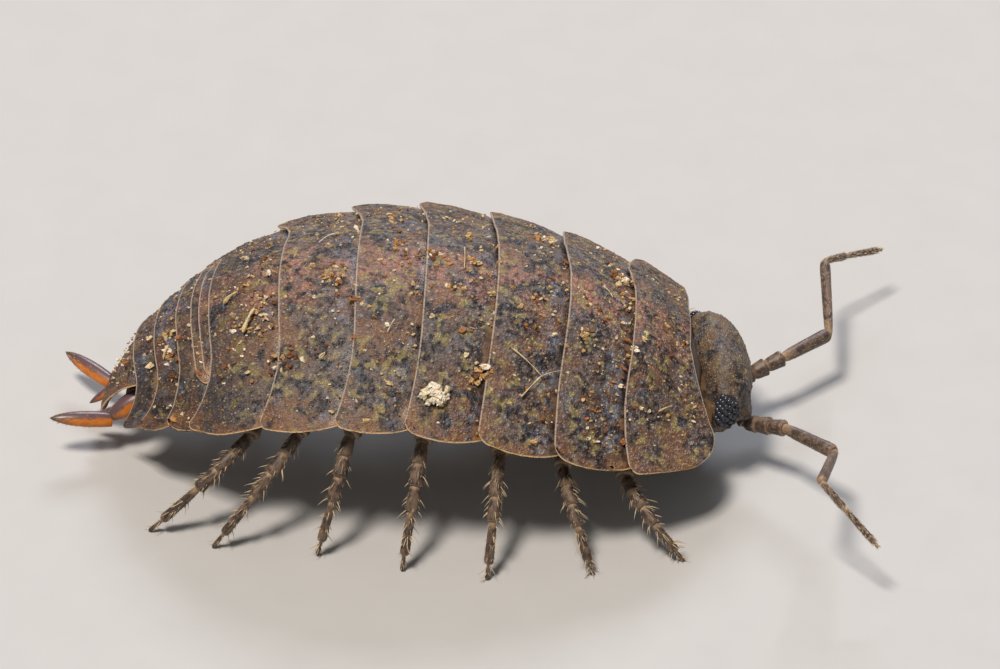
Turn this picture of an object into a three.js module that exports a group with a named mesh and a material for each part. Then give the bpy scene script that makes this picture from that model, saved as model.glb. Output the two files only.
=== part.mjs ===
// Rough woodlouse, life size, standing on its fourteen legs.
// Millimetres, +Z up, the head towards +X and the animal's left side towards +Y.
// The back is one arched, vaulted surface. Every plate is a thin slice of that surface,
// and the hind edge of each plate lies over the front edge of the plate behind it.
import * as THREE from 'three';

// Driving dimensions of the body
const BODY_LENGTH = 14;          // from the tip of the tail to the front of the head, along the back
const MID_BODY = BODY_LENGTH / 2;
const CLEARANCE = 3.1;           // height of the plate edges over the floor at mid body
const VAULT_RATIO = 0.36;        // height of the vault over its edges, as a share of the half width
const PLATE_THICKNESS = 0.12;
const PLATE_LIFT = 0.12;         // how far a plate rises from its tucked front to its free hind edge
const PLATE_OVERLAP = 0.36;      // length of each trunk plate that is tucked under the one in front
const TAIL_OVERLAP = 0.2;        // the same on the tail
const PLATE_STEPS = 4;
const PLATE_STEPS_ACROSS = 18;

// Pitch of the back in radians, a cubic in u, which runs from -1 at the tail to 1 at the head
const PITCH = { level: -0.06, bend: -0.8, skew: 0.37, ease: 0.4 };
const TAIL_CURL = { from: 1.6, extra: 0.5 };   // the last stretch of the tail bends down further
const BACK_LINE_STEPS = 40;

// Half width of the body at stations along the back, from the tail forwards
const HALF_WIDTHS = [
  [-0.4, 0.45], [0.5, 1.05], [1.3, 1.75], [2.2, 2.35], [3.1, 2.85], [4.5, 3.25], [5.9, 3.45],
  [7.4, 3.55], [8.9, 3.55], [10.4, 3.45], [11.7, 3.2], [12.6, 2.75], [13.6, 2.1],
];

// The vault droops towards the head, which sits low in the notch of the first plate
const FRONT_DROOP = { from: 11.2, over: 1.2, depth: 0.35, most: 0.8 };

// Free hind edges of the seven trunk plates at the midline, from the first one back,
// with how far each one's hind corners are drawn backwards
const TRUNK_PLATES = [
  { hind: 11.13, sweep: -0.34 },
  { hind: 9.77, sweep: -0.16 },
  { hind: 8.39, sweep: 0.02 },
  { hind: 7.11, sweep: 0.2 },
  { hind: 5.91, sweep: 0.38 },
  { hind: 4.55, sweep: 0.56 },
  { hind: 3.2, sweep: 0.78 },
];
// The head is turned a little to the left. So the first plate runs forwards beside it on the right,
// to a wide rounded corner, and hardly at all on the left
const FIRST_PLATE = {
  notch: 12.5,
  power: 1.35,
  cornerFrom: 0.72,
  cornerOver: 0.36,
  right: { forwards: 1, cornerDrop: 1 },
  left: { forwards: 0.16, cornerDrop: 0.15 },
};
const FIRST_PLATE_FRONT_LIFT = 0;
const TRUNK_REACH = 1.07;        // the flanks of the trunk plates run on past the nominal half width
const SWEEP_FROM = 0.45;         // the edges are straight up to here, as a share of the half width
const SWEEP_STEP = 0.1;          // a tucked front edge is swept this much less than the edge over it

// Tail plates: hind edge, sweep of the corners, and how far out they reach as a share of the half width
const TAIL_PLATES = [
  { hind: 3.0, sweep: 0.0, reach: 0.66 },
  { hind: 2.82, sweep: 0.0, reach: 0.7 },
  { hind: 2.48, sweep: 0.66, reach: 1.06 },
  { hind: 1.94, sweep: 0.78, reach: 1.08 },
  { hind: 1.42, sweep: 0.86, reach: 1.08 },
];
const TAIL_SWEEP = { most: 0.7, step: 0.05, rounding: 0.6 };

// The outline of a plate's flank bows out in its middle and is drawn in at its front corner
const FLANK_BOW = { middle: 0.035, frontCorner: 0.07 };

// The last plate, a triangle with hollowed sides, a thick keel and a long point
const TAIL_POINT = { tip: -0.2, tipHalf: 0.06, half: 1.1, hollowing: 1.35, keel: 0.1 };

// The soft trunk under the plates: a vaulted top, and a flat belly that carries the legs
const TRUNK = { hind: 1.1, front: 12.25, top: -0.34, belly: -0.25, reach: 0.72, bellyShare: 0.9 };

// The gill covers under the tail, thicker and wider towards their front
const GILL_COVERS = { hind: 0.95, front: 3.05, reach: 0.62, taper: 0.25, top: -0.29, thick: 0.18, swell: 0.14 };

// The head: half axes, turned down at the front and to the left, a little squarer than an egg,
// short behind its middle, with three lobes in front
const HEAD = {
  centre: [5.89, 0.09, -1.36],
  half: [0.79, 1.47, 1.03],
  back: 0.51,
  pitch: 0.31,
  yaw: 0.23,
  squareness: 0.88,
};
const HEAD_LOBES = [
  { azimuth: 0, elevation: 4, wide: 16 },
  { azimuth: 46, elevation: 0, wide: 15 },
  { azimuth: -46, elevation: 0, wide: 15 },
];
const LOBE_SWELL = 0.03;

// Pads on the head: directions and half sizes in degrees, heights in millimetres
const EYE = { azimuth: 92, elevation: 7, halfWide: 18, halfHigh: 17, height: 0.12 };
const MOUTHPARTS = { azimuth: 0, elevation: -66, halfWide: 60, halfHigh: 15, height: 0.25 };
const PAD_GAP = 0.03;

const COLOURS = {
  plate: '#564a45',
  head: '#5c524b',
  eye: '#141216',
  feeler: '#6e5f52',
  leg: '#7d6a5a',
  belly: '#8d7c6a',
  tailFork: '#a4562b',
};

// Materials
const material = (colour, roughness = 0.7) => new THREE.MeshStandardMaterial({
  color: colour,
  roughness,
  metalness: 0,
});
const plateMaterial = () => material(COLOURS.plate, 0.62);
const headMaterial = () => material(COLOURS.head, 0.6);
const eyeMaterial = () => material(COLOURS.eye, 0.2);
const bellyMaterial = () => material(COLOURS.belly);
const feelerMaterial = () => material(COLOURS.feeler);
const legMaterial = () => material(COLOURS.leg);
const tailForkMaterial = () => material(COLOURS.tailFork, 0.45);

const point = (x, y, z) => new THREE.Vector3(x, y, z);
const between = (from, to, share) => from.clone().lerp(to, share);

// Straight interpolation through a short list of [station, value] pairs
function interpolate(pairs, at) {
  const last = pairs.length - 1;
  const clamped = Math.min(Math.max(at, pairs[0][0]), pairs[last][0]);
  const i = Math.min(pairs.findIndex(([x], k) => k === last || clamped <= pairs[k + 1][0]), last - 1);
  const [x0, y0] = pairs[i];
  const [x1, y1] = pairs[i + 1];
  return y0 + ((y1 - y0) * (clamped - x0)) / (x1 - x0);
}

// The arched line of the body: its pitch, and its place found by adding up small steps
function pitchAt(s) {
  const u = s / MID_BODY - 1;
  const curl = TAIL_CURL.extra * Math.max(0, 1 - s / TAIL_CURL.from);
  return PITCH.level + u * (PITCH.bend + u * (PITCH.skew + u * PITCH.ease)) + curl;
}

function backLine(s) {
  const step = (s - MID_BODY) / BACK_LINE_STEPS;
  const place = point(0, 0, 0);
  for (let i = 0; i < BACK_LINE_STEPS; i += 1) {
    const pitch = pitchAt(MID_BODY + (i + 0.5) * step);
    place.x += Math.cos(pitch) * step;
    place.z += Math.sin(pitch) * step;
  }
  return place;
}

// The vault across the back: 1 on the midline, 0 at the nominal edges, with nearly upright flanks
const halfWidth = (s) => interpolate(HALF_WIDTHS, s);
const vault = (t) => 1 - 1.35 * t * t + 0.35 * t ** 4;
const vaultSlope = (t) => -2.7 * t + 1.4 * t ** 3;
function frontDroop(s) {
  const share = Math.max(0, (s - FRONT_DROOP.from) / FRONT_DROOP.over);
  return FRONT_DROOP.depth * Math.min(share, FRONT_DROOP.most) ** 2;
}

// A point of the body's section at station s: across, up and forwards in the section's own axes
function sectionPoint(s, across, up) {
  const pitch = pitchAt(s);
  const place = backLine(s);
  place.x -= Math.sin(pitch) * up;
  place.z += Math.cos(pitch) * up;
  place.y = across;
  return place;
}

// A point of the vaulted back, t from -1 at the right edge to 1 at the left, raised by lift
function backPoint(s, t, lift) {
  const wide = halfWidth(s);
  const high = VAULT_RATIO * wide;
  const slope = (high * vaultSlope(t)) / wide;
  const norm = Math.hypot(1, slope);
  const up = high * vault(t) - frontDroop(s) * (1 - t * t);
  return sectionPoint(s, wide * t - (lift * slope) / norm, up + lift / norm);
}

function named(name, geometry, material_) {
  const mesh = new THREE.Mesh(geometry, material_);
  mesh.name = name;
  return mesh;
}

// The named mesh of a geometry whose every vertex is moved to the place that a function gives it
function reshaped(name, geometry, material_, place) {
  const positions = geometry.attributes.position;
  for (let i = 0; i < positions.count; i += 1) {
    const moved = place(positions.getX(i), positions.getY(i), positions.getZ(i));
    positions.setXYZ(i, moved.x, moved.y, moved.z);
  }
  geometry.computeVertexNormals();
  return named(name, geometry, material_);
}

// A closed body made by moving the points of a divided box: along runs from 1 in front to 0 behind,
// across from -1 on the right to 1 on the left, and layer is 0 below and 1 above
function shapedBox(name, material_, alongSteps, acrossSteps, place) {
  const geometry = new THREE.BoxGeometry(1, 1, 1, alongSteps, 1, acrossSteps);
  return reshaped(name, geometry, material_, (x, y, z) => place(x + 0.5, -2 * z, y + 0.5));
}

// A closed tube through stations of { at, radius }.
// The first and last rings can be laid square to a given direction.
const TUBE_SIDES = 8;
function jointedTube(name, material_, stations, startDirection, endDirection) {
  const rings = stations.length - 1;
  const geometry = new THREE.CylinderGeometry(1, 1, 1, TUBE_SIDES, rings);
  const frames = ringFrames(stations.map((station) => station.at), startDirection, endDirection);
  return reshaped(name, geometry, material_, (x, y, z) => {
    const ring = Math.round((0.5 - y) * rings);
    const { side, other } = frames[ring];
    const { at, radius } = stations[ring];
    return at.clone().addScaledVector(side, x * radius).addScaledVector(other, z * radius);
  });
}

function ringFrames(points, startDirection, endDirection) {
  const last = points.length - 1;
  const directionAt = (i) => {
    if (i === 0 && startDirection) return startDirection.clone().normalize();
    if (i === last && endDirection) return endDirection.clone().normalize();
    const before = points[Math.max(i - 1, 0)];
    const after = points[Math.min(i + 1, last)];
    const into = points[i].clone().sub(before).normalize();
    const out = after.clone().sub(points[i]).normalize();
    return into.add(out).normalize();
  };
  const lengthways = Math.abs(directionAt(0).x) > 0.8;
  let side = lengthways ? point(0, 1, 0) : point(1, 0, 0);
  return points.map((_, i) => {
    const direction = directionAt(i);
    side = side.clone().addScaledVector(direction, -side.dot(direction)).normalize();
    const other = direction.clone().cross(side);
    return { side, other };
  });
}

// Sweep of a plate edge: nothing near the midline, growing to its full value at the corners
const cornerSweep = (t) => Math.max(0, (Math.abs(t) - SWEEP_FROM) / (1 - SWEEP_FROM)) ** 2;

// A straight edge whose corners are swept back, as a function of the share across
const sweptEdge = (s, sweep) => (t) => s - sweep * cornerSweep(t);

function firstFrontEdge(t) {
  const { notch, power, cornerFrom, cornerOver, right, left } = FIRST_PLATE;
  const { forwards, cornerDrop } = t < 0 ? right : left;
  const out = Math.abs(t);
  const corner = Math.min(1, Math.max(0, (out - cornerFrom) / cornerOver));
  return notch + forwards * out ** power - cornerDrop * (1 - Math.sqrt(1 - corner ** 2));
}

// A plate of the back between two edges. Its flanks bow out in the middle, and it rises to its hind edge
function plate(name, edges) {
  const place = (along, across, layer) => {
    const bulge = FLANK_BOW.middle * (4 * along * (1 - along) - 1);
    const bow = bulge - FLANK_BOW.frontCorner * along ** 3;
    const t = across * edges.reach * (1 + bow * edges.rounding);
    const front = edges.front(t);
    const hind = edges.hind(t);
    const rise = PLATE_LIFT + (edges.frontLift - PLATE_LIFT) * along;
    return backPoint(hind + (front - hind) * along, t, rise - PLATE_THICKNESS * (1 - layer));
  };
  return shapedBox(name, plateMaterial(), PLATE_STEPS, PLATE_STEPS_ACROSS, place);
}

function trunkPlates() {
  return TRUNK_PLATES.map(({ hind, sweep }, i) => {
    const inFront = TRUNK_PLATES[i - 1];
    const edge = inFront
      ? {
        front: sweptEdge(inFront.hind + PLATE_OVERLAP, inFront.sweep - SWEEP_STEP),
        frontLift: -PLATE_LIFT,
        rounding: 1,
      }
      : { front: firstFrontEdge, frontLift: FIRST_PLATE_FRONT_LIFT, rounding: 0 };
    return plate(`pereonite_${i + 1}`, { ...edge, hind: sweptEdge(hind, sweep), reach: TRUNK_REACH });
  });
}

function tailPlates() {
  return TAIL_PLATES.map(({ hind, sweep, reach }, i) => {
    const inFront = TAIL_PLATES[i - 1] ?? TRUNK_PLATES[TRUNK_PLATES.length - 1];
    const frontSweep = Math.min(inFront.sweep, TAIL_SWEEP.most) - TAIL_SWEEP.step;
    return plate(`pleonite_${i + 1}`, {
      front: sweptEdge(inFront.hind + TAIL_OVERLAP, frontSweep),
      frontLift: -PLATE_LIFT,
      hind: sweptEdge(hind, sweep),
      reach,
      rounding: TAIL_SWEEP.rounding,
    });
  });
}

function tailPoint() {
  const front = TAIL_PLATES[TAIL_PLATES.length - 1].hind + TAIL_OVERLAP;
  const thick = PLATE_THICKNESS + TAIL_POINT.keel;
  const place = (along, across, layer) => {
    const s = TAIL_POINT.tip + (front - TAIL_POINT.tip) * along;
    const half = TAIL_POINT.tipHalf + TAIL_POINT.half * along ** TAIL_POINT.hollowing;
    const rise = PLATE_LIFT * (1 - 2 * along);
    return backPoint(s, (across * half) / halfWidth(s), rise - thick * (1 - layer));
  };
  return shapedBox('telson', plateMaterial(), 6, 8, place);
}

function trunk() {
  const place = (along, across, layer) => {
    const s = TRUNK.hind + (TRUNK.front - TRUNK.hind) * along;
    const t = across * TRUNK.reach;
    if (layer > 0.5) return backPoint(s, t, TRUNK.top);
    return sectionPoint(s, TRUNK.bellyShare * halfWidth(s) * t, TRUNK.belly);
  };
  return shapedBox('trunk', bellyMaterial(), 18, 8, place);
}

function gillCovers() {
  const { hind, front, reach, taper, top, thick, swell } = GILL_COVERS;
  const place = (along, across, layer) => {
    const s = hind + (front - hind) * along;
    const half = reach * halfWidth(s) * (1 - taper * (1 - along) ** 2);
    return sectionPoint(s, half * across, top - (1 - layer) * (thick + swell * along));
  };
  return shapedBox('pleopods', bellyMaterial(), 5, 4, place);
}

// How far a lobe of the head reaches out in a direction, as a bell around the lobe's middle
function lobe(azimuth, elevation, { azimuth: middle, elevation: level, wide }) {
  const off = Math.hypot((azimuth - middle) / wide, (elevation - level) / wide);
  return Math.exp(-off * off);
}

function headPoint(azimuth, elevation, lift) {
  const a = THREE.MathUtils.degToRad(azimuth);
  const e = THREE.MathUtils.degToRad(elevation);
  const [long, wide, high] = HEAD.half;
  const lobes = HEAD_LOBES.map((shape) => lobe(azimuth, elevation, shape));
  const swell = 1 + LOBE_SWELL * lobes.reduce((sum, share) => sum + share);
  const direction = point(Math.cos(a) * Math.cos(e), Math.sin(a) * Math.cos(e), Math.sin(e));
  const square = (x) => Math.sign(x) * Math.abs(x) ** HEAD.squareness;
  const place = point(
    (direction.x < 0 ? HEAD.back : long) * square(direction.x) * swell,
    wide * square(direction.y) * swell,
    high * square(direction.z),
  );
  place.addScaledVector(direction, lift);
  place.applyAxisAngle(point(0, 1, 0), HEAD.pitch);
  place.applyAxisAngle(point(0, 0, 1), HEAD.yaw);
  return place.add(point(...HEAD.centre));
}

const POLE = 0.9999;
function head() {
  return reshaped('head', new THREE.SphereGeometry(1, 26, 13), headMaterial(), (x, y, z) => {
    const azimuth = Math.abs(y) > POLE ? 0 : THREE.MathUtils.radToDeg(Math.atan2(-z, x));
    const elevation = THREE.MathUtils.radToDeg(Math.asin(Math.min(Math.max(y, -1), 1)));
    return headPoint(azimuth, elevation, 0);
  });
}

// A raised pad on the head's surface, flat below and domed above
function padOnHead(name, material_, pad) {
  return reshaped(name, new THREE.SphereGeometry(1, 14, 8), material_, (x, y, z) => {
    const azimuth = pad.azimuth + pad.halfWide * x;
    const elevation = pad.elevation - pad.halfHigh * z;
    return headPoint(azimuth, elevation, PAD_GAP + pad.height * Math.max(y, 0));
  });
}

// Feelers: three short articles, a fourth, a long fifth, then a whip of two articles
const FEELERS = {
  right: {
    base: point(6.68, -0.74, -1.96),
    wrist: point(7.45, -1.22, -1.68),
    elbow: point(8.44, -2.14, -1.5),
    knee: point(8.14, -3.94, -0.78),
    joint: point(8.52, -4.2, -1.1),
    tip: point(9.3, -4.73, -1.76),
  },
  left: {
    base: point(6.53, 0.62, -1.96),
    wrist: point(7.4, 1.1, -1.74),
    elbow: point(8.34, 1.92, -1.74),
    knee: point(8.24, 3.76, -1.3),
    joint: point(8.6, 4.1, -1.44),
    tip: point(9.44, 4.86, -1.82),
  },
};
const FEELER_RADIUS = 0.25;

function feeler(side) {
  const { base, wrist, elbow, knee, joint, tip } = FEELERS[side];
  const ring = (from, to, share, swell = 0) => ({
    at: between(from, to, share),
    radius: FEELER_RADIUS + swell,
  });
  const stalk = [
    ring(base, wrist, 0),
    ring(base, wrist, 0.3, 0.05),
    ring(base, wrist, 0.55),
    ring(base, wrist, 0.85, 0.05),
    ring(wrist, elbow, 0.1),
    ring(wrist, elbow, 0.6, 0.03),
    ring(wrist, elbow, 1),
    ring(elbow, knee, 0.5, 0.02),
    ring(elbow, knee, 0.97),
  ];
  const whip = [
    ring(knee, joint, 0.3),
    ring(knee, joint, 1),
    ring(joint, tip, 0.7, -0.01),
    ring(joint, tip, 1, -0.15),
  ];
  const upperArm = knee.clone().sub(elbow);
  return [
    jointedTube(`antenna_${side}_peduncle`, feelerMaterial(), stalk, null, upperArm),
    jointedTube(`antenna_${side}_flagellum`, feelerMaterial(), whip),
  ];
}

// Tail forks: a stub, a lance-shaped outer branch and a short inner one on each side
const TAIL_FORKS = {
  right: { root: point(-5.75, -0.72, -2.35), joint: point(-6.1, -0.8, -2.3), tip: point(-7.33, -1.0, -2.14) },
  left: { root: point(-5.8, 0.6, -2.42), joint: point(-6.2, 0.62, -2.5), tip: point(-7.2, 1.42, -2.37) },
};
const STUB_RADII = [0.26, 0.22];
const OUTER_BRANCH = [           // share of the way from joint to tip, and radius there
  [0.04, 0.18], [0.3, 0.21], [0.65, 0.17], [1, 0.05],
];
const INNER_BRANCH = {
  inwards: 0.35,
  from: point(0.06, 0, -0.16),
  along: point(-0.5, 0, -0.1),
  radii: [[0, 0.1], [0.5, 0.14], [1, 0.06]],
};

function tailFork(side) {
  const { root, joint, tip } = TAIL_FORKS[side];
  const inwards = side === 'right' ? INNER_BRANCH.inwards : -INNER_BRANCH.inwards;
  const start = joint.clone().add(INNER_BRANCH.from).add(point(0, inwards, 0));
  const end = start.clone().add(INNER_BRANCH.along);
  const stub = [{ at: root, radius: STUB_RADII[0] }, { at: joint, radius: STUB_RADII[1] }];
  const outer = OUTER_BRANCH.map(([share, radius]) => ({ at: between(joint, tip, share), radius }));
  const inner = INNER_BRANCH.radii.map(([share, radius]) => ({ at: between(start, end, share), radius }));
  return [
    jointedTube(`uropod_${side}_base`, tailForkMaterial(), stub),
    jointedTube(`uropod_${side}_outer`, tailForkMaterial(), outer),
    jointedTube(`uropod_${side}_inner`, tailForkMaterial(), inner),
  ];
}

// Legs: station of the hip, how far the knee is drawn back, and the place of the foot on the floor
const LEGS = [
  { hip: 11.55, kneeBack: -0.1, foot: [5.5, 3.75] },
  { hip: 10.35, kneeBack: 0, foot: [3.7, 4.25] },
  { hip: 9.0, kneeBack: 0, foot: [1.6, 4.5] },
  { hip: 7.65, kneeBack: 0.3, foot: [-0.1, 4.3] },
  { hip: 6.4, kneeBack: 0.6, foot: [-1.8, 3.9] },
  { hip: 5.15, kneeBack: 0.5, foot: [-3.9, 3.75] },
  { hip: 3.85, kneeBack: 0.35, foot: [-5.2, 3.3] },
];
const LEG_JOINTS = {             // share of the half width, depth under the belly, and radius
  hip: { out: 0.5, below: 0.03, radius: 0.3 },
  thigh: { out: 0.6, below: 0.42, radius: 0.3 },
  knee: { out: 0.86, below: 0.5, radius: 0.26 },
};
const SHIN_BOW = { out: 0.28, up: 0.12 };
const SHIN_ARTICLES = [          // share of the way from knee to floor, and radius there
  [0.12, 0.29], [0.23, 0.25], [0.34, 0.28], [0.46, 0.25], [0.62, 0.27], [0.8, 0.25],
];
const SOLE_RADIUS = 0.25;
const STRIDE = 0.22;             // how far the left feet are set off from the right ones

function leg(i, side) {
  const sign = side === 'right' ? -1 : 1;
  const { hip, kneeBack, foot } = LEGS[i];
  const jointAt = ({ out, below }) => sectionPoint(hip, sign * out * halfWidth(hip), TRUNK.belly - below);
  const knee = jointAt(LEG_JOINTS.knee).add(point(-kneeBack, 0, 0));
  const stride = side === 'left' ? STRIDE * (i % 2 === 0 ? 1 : -1) : 0;
  const sole = point(foot[0] + stride, sign * foot[1], -CLEARANCE);
  const down = point(0, 0, -1);
  const shin = SHIN_ARTICLES.map(([share, radius]) => {
    const bow = Math.sin(Math.PI * share);
    const offset = point(0, sign * SHIN_BOW.out * bow, SHIN_BOW.up * bow);
    return { at: between(knee, sole, share).add(offset), radius };
  });
  const stations = [
    { at: jointAt(LEG_JOINTS.hip), radius: LEG_JOINTS.hip.radius },
    { at: jointAt(LEG_JOINTS.thigh), radius: LEG_JOINTS.thigh.radius },
    { at: knee, radius: LEG_JOINTS.knee.radius },
    ...shin,
    { at: sole, radius: SOLE_RADIUS },
  ];
  return jointedTube(`leg_${side}_${i + 1}`, legMaterial(), stations, down, down);
}

// The whole animal, set on the floor with its origin under the middle of its box
function woodlouse() {
  const animal = new THREE.Group();
  animal.add(head(), trunk(), gillCovers(), tailPoint(), ...trunkPlates(), ...tailPlates());
  animal.add(padOnHead('mouthparts', bellyMaterial(), MOUTHPARTS));
  for (const side of ['right', 'left']) {
    const azimuth = side === 'right' ? -EYE.azimuth : EYE.azimuth;
    animal.add(padOnHead(`eye_${side}`, eyeMaterial(), { ...EYE, azimuth }));
    animal.add(...feeler(side), ...tailFork(side));
    for (let i = 0; i < LEGS.length; i += 1) animal.add(leg(i, side));
  }
  const box = new THREE.Box3().setFromObject(animal);
  animal.position.set(-(box.min.x + box.max.x) / 2, -(box.min.y + box.max.y) / 2, -box.min.z);
  return animal;
}

const part = new THREE.Group();
part.add(woodlouse());
export default part;
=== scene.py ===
# %% [markdown]
# # Rough woodlouse, a still model at life size
# A woodlouse is a land crustacean under fourteen overlapping shell plates. All its surfaces are worked out
# here as numpy grids in millimetres, in the same frame as the solids: the head towards +X, the animal's left
# side towards +Y, and the floor at z = 0. The first step loads those solids, which fix every size and place.

# %% Load the solid model
import functools
import itertools
import math

import bpy
import numpy as np
from mathutils import Matrix, Vector


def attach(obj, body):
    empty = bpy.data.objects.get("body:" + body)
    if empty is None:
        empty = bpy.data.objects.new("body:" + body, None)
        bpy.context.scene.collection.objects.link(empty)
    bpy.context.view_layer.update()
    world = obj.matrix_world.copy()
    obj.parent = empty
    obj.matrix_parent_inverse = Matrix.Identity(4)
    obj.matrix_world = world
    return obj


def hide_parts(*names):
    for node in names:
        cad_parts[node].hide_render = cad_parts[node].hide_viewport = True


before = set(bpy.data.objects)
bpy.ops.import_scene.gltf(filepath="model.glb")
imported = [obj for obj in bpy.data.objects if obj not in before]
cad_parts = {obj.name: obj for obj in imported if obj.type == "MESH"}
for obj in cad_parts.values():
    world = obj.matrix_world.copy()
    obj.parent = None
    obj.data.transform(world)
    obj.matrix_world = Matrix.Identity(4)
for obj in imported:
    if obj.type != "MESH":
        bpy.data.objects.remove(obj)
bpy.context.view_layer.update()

# %% [markdown]
# ## The line of the body
# The back is an arch. Its pitch changes smoothly from tail to head, and adding up small steps along that
# pitch gives the line. Around the line stands a section whose vault is a polynomial of the share across, t,
# which runs from -1 at the right edge to 1 at the left. Every plate is a slice of this one surface, so
# neighbours always fit.

# %% The line, the width and the vault
MM = 0.001
MID_BODY = 7.0
CLEARANCE = 3.1
MID_BODY_PLACE = np.array([-1.0854, -0.06, CLEARANCE])
PITCH_LEVEL, PITCH_BEND, PITCH_SKEW, PITCH_EASE = -0.06, -0.8, 0.37, 0.4
TAIL_CURL, TAIL_CURL_FROM = 0.5, 1.6
VAULT_RATIO = 0.36
FRONT_DROOP, DROOP_FROM, DROOP_OVER, DROOP_MOST = 0.35, 11.2, 1.2, 0.8
WIDTH_STATIONS = [-0.4, 0.5, 1.3, 2.2, 3.1, 4.5, 5.9, 7.4, 8.9, 10.4, 11.7, 12.6, 13.6]
HALF_WIDTHS = [0.45, 1.05, 1.75, 2.35, 2.85, 3.25, 3.45, 3.55, 3.55, 3.45, 3.2, 2.75, 2.1]

table_s, table_step = np.linspace(-1.0, 14.0, 3001, retstep=True)


def pitch_at(s):
    """Pitch in radians: a cubic in u, from -1 at the tail to 1 at the head, plus a curl at the tail."""
    u = s / MID_BODY - 1
    curl = TAIL_CURL * np.maximum(0, 1 - s / TAIL_CURL_FROM)
    return PITCH_LEVEL + u * (PITCH_BEND + u * (PITCH_SKEW + u * PITCH_EASE)) + curl


def summed_line(part_of_pitch):
    """Running sum of cos or sin of the pitch over small steps, set to 0 at mid body."""
    steps = part_of_pitch(pitch_at(table_s[:-1] + table_step / 2)) * table_step
    line = np.concatenate([[0], np.cumsum(steps)])
    return line - np.interp(MID_BODY, table_s, line)


table_x = summed_line(np.cos)
table_z = summed_line(np.sin)
smoothing = np.hanning(161)
smoothing /= smoothing.sum()
padded_width = np.pad(np.interp(table_s, WIDTH_STATIONS, HALF_WIDTHS), 80, mode="edge")
table_width = np.convolve(padded_width, smoothing, mode="valid")


def half_width(s):
    return np.interp(s, table_s, table_width)


def section_point(s, across, up):
    """The line's point at station s, moved up along the section's own axis and across along Y."""
    pitch = pitch_at(s)
    x = np.interp(s, table_s, table_x) - np.sin(pitch) * up
    z = np.interp(s, table_s, table_z) + np.cos(pitch) * up
    return np.stack(np.broadcast_arrays(x, across, z), axis=-1) + MID_BODY_PLACE


def back_point(s, t, lift):
    """Vault height 1 - 1.35 t² + 0.35 t⁴ times its ratio of the half width, then lift along the normal."""
    wide = half_width(s)
    slope = VAULT_RATIO * (-2.7 * t + 1.4 * t**3)
    norm = np.hypot(1, slope)
    droop = FRONT_DROOP * np.clip((s - DROOP_FROM) / DROOP_OVER, 0, DROOP_MOST) ** 2
    up = VAULT_RATIO * wide * (1 - 1.35 * t**2 + 0.35 * t**4) - droop * (1 - t**2)
    return section_point(s, wide * t - lift * slope / norm, up + lift / norm)


print("height of the back at mid body in mm:", back_point(MID_BODY, 0.0, 0.0)[2].round(2))

# %% [markdown]
# ## From arrays to meshes
# Almost every piece is a closed tube: a stack of rings, whose points are one array of shape rings, sides, 3.
# Quads join neighbouring rings, and one flat face closes each end. A plate is such a tube too, squashed flat,
# with its rings running from one flank to the other.

# %% Mesh helpers
def tube_faces(rings, sides):
    """Quads between each ring and the next, then one face with all the sides at each end."""
    i, j = np.meshgrid(np.arange(rings - 1), np.arange(sides), indexing="ij")
    following = (j + 1) % sides
    here, there = i * sides, (i + 1) * sides
    quads = np.stack([here + j, here + following, there + following, there + j], -1)
    first = np.arange(sides)[::-1]
    last = (rings - 1) * sides + np.arange(sides)
    return [quads.reshape(-1, 4), first[None, :], last[None, :]]


def facing_out(points, face_sets):
    """Turns all faces round if the volume, summed over the quads as flat pyramids, comes out negative."""
    quads = face_sets[0]
    a, b, c = (points[quads[:, k]] - points.mean(axis=0) for k in (0, 1, 2))
    if np.einsum("ij,ij->i", a, np.cross(b, c)).sum() < 0:
        return [faces[:, ::-1] for faces in face_sets]
    return face_sets


def new_piece(name, points, face_sets, material, nodes=(), marks=None, patch=None):
    """Puts arrays in millimetres into a mesh in metres, with its attributes, finish, body and nodes."""
    mesh = bpy.data.meshes.new(name)
    mesh.vertices.add(len(points))
    mesh.vertices.foreach_set("co", (points * MM).astype(np.float32).ravel())
    corners = np.concatenate([faces.ravel() for faces in face_sets]).astype(np.int32)
    sizes = np.concatenate([np.full(len(faces), faces.shape[1]) for faces in face_sets])
    mesh.loops.add(len(corners))
    mesh.loops.foreach_set("vertex_index", corners)
    mesh.polygons.add(len(sizes))
    mesh.polygons.foreach_set("loop_start", np.concatenate([[0], np.cumsum(sizes)[:-1]]).astype(np.int32))
    mesh.update(calc_edges=True)
    mesh.shade_smooth()
    for key, values in (marks or {}).items():
        if values.ndim == 1:
            mesh.attributes.new(key, "FLOAT", "POINT").data.foreach_set("value", values.astype(np.float32))
        else:
            vectors = mesh.attributes.new(key, "FLOAT_VECTOR", "POINT").data
            vectors.foreach_set("vector", values.astype(np.float32).ravel())
    if patch is not None:
        mesh.uv_layers.new(name="OFBake").data.foreach_set("uv", patch[corners].astype(np.float32).ravel())
    mesh.materials.append(material)
    piece = bpy.data.objects.new(name, mesh)
    bpy.context.scene.collection.objects.link(piece)
    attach(piece, "root")
    if nodes:
        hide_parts(*nodes)
    print(name, "triangles:", int((sizes - 2).sum()))
    return piece


def joined(parts):
    """Joins (points, face_sets, marks) parts; face numbers are moved past the points of the parts before."""
    starts = np.cumsum([0] + [len(points) for points, _, _ in parts])
    points = np.concatenate([points for points, _, _ in parts])
    face_sets = [faces + start for start, (_, sets, _) in zip(starts, parts) for faces in sets]
    marks = {key: np.concatenate([part_marks[key] for _, _, part_marks in parts]) for key in parts[0][2]}
    return points, face_sets, marks


# %% [markdown]
# ## Roughness with a size
# The shell is rough with tiny round grains. Cells of a set spacing each hold one grain at a random place, and
# a point's height comes from the nearest ones. Slow ripples make each plate a little uneven. Both fields come
# from seeded tables, so the model is the same each time.

# %% Random fields
def unit(vectors):
    return vectors / np.linalg.norm(vectors, axis=-1, keepdims=True)


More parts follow.
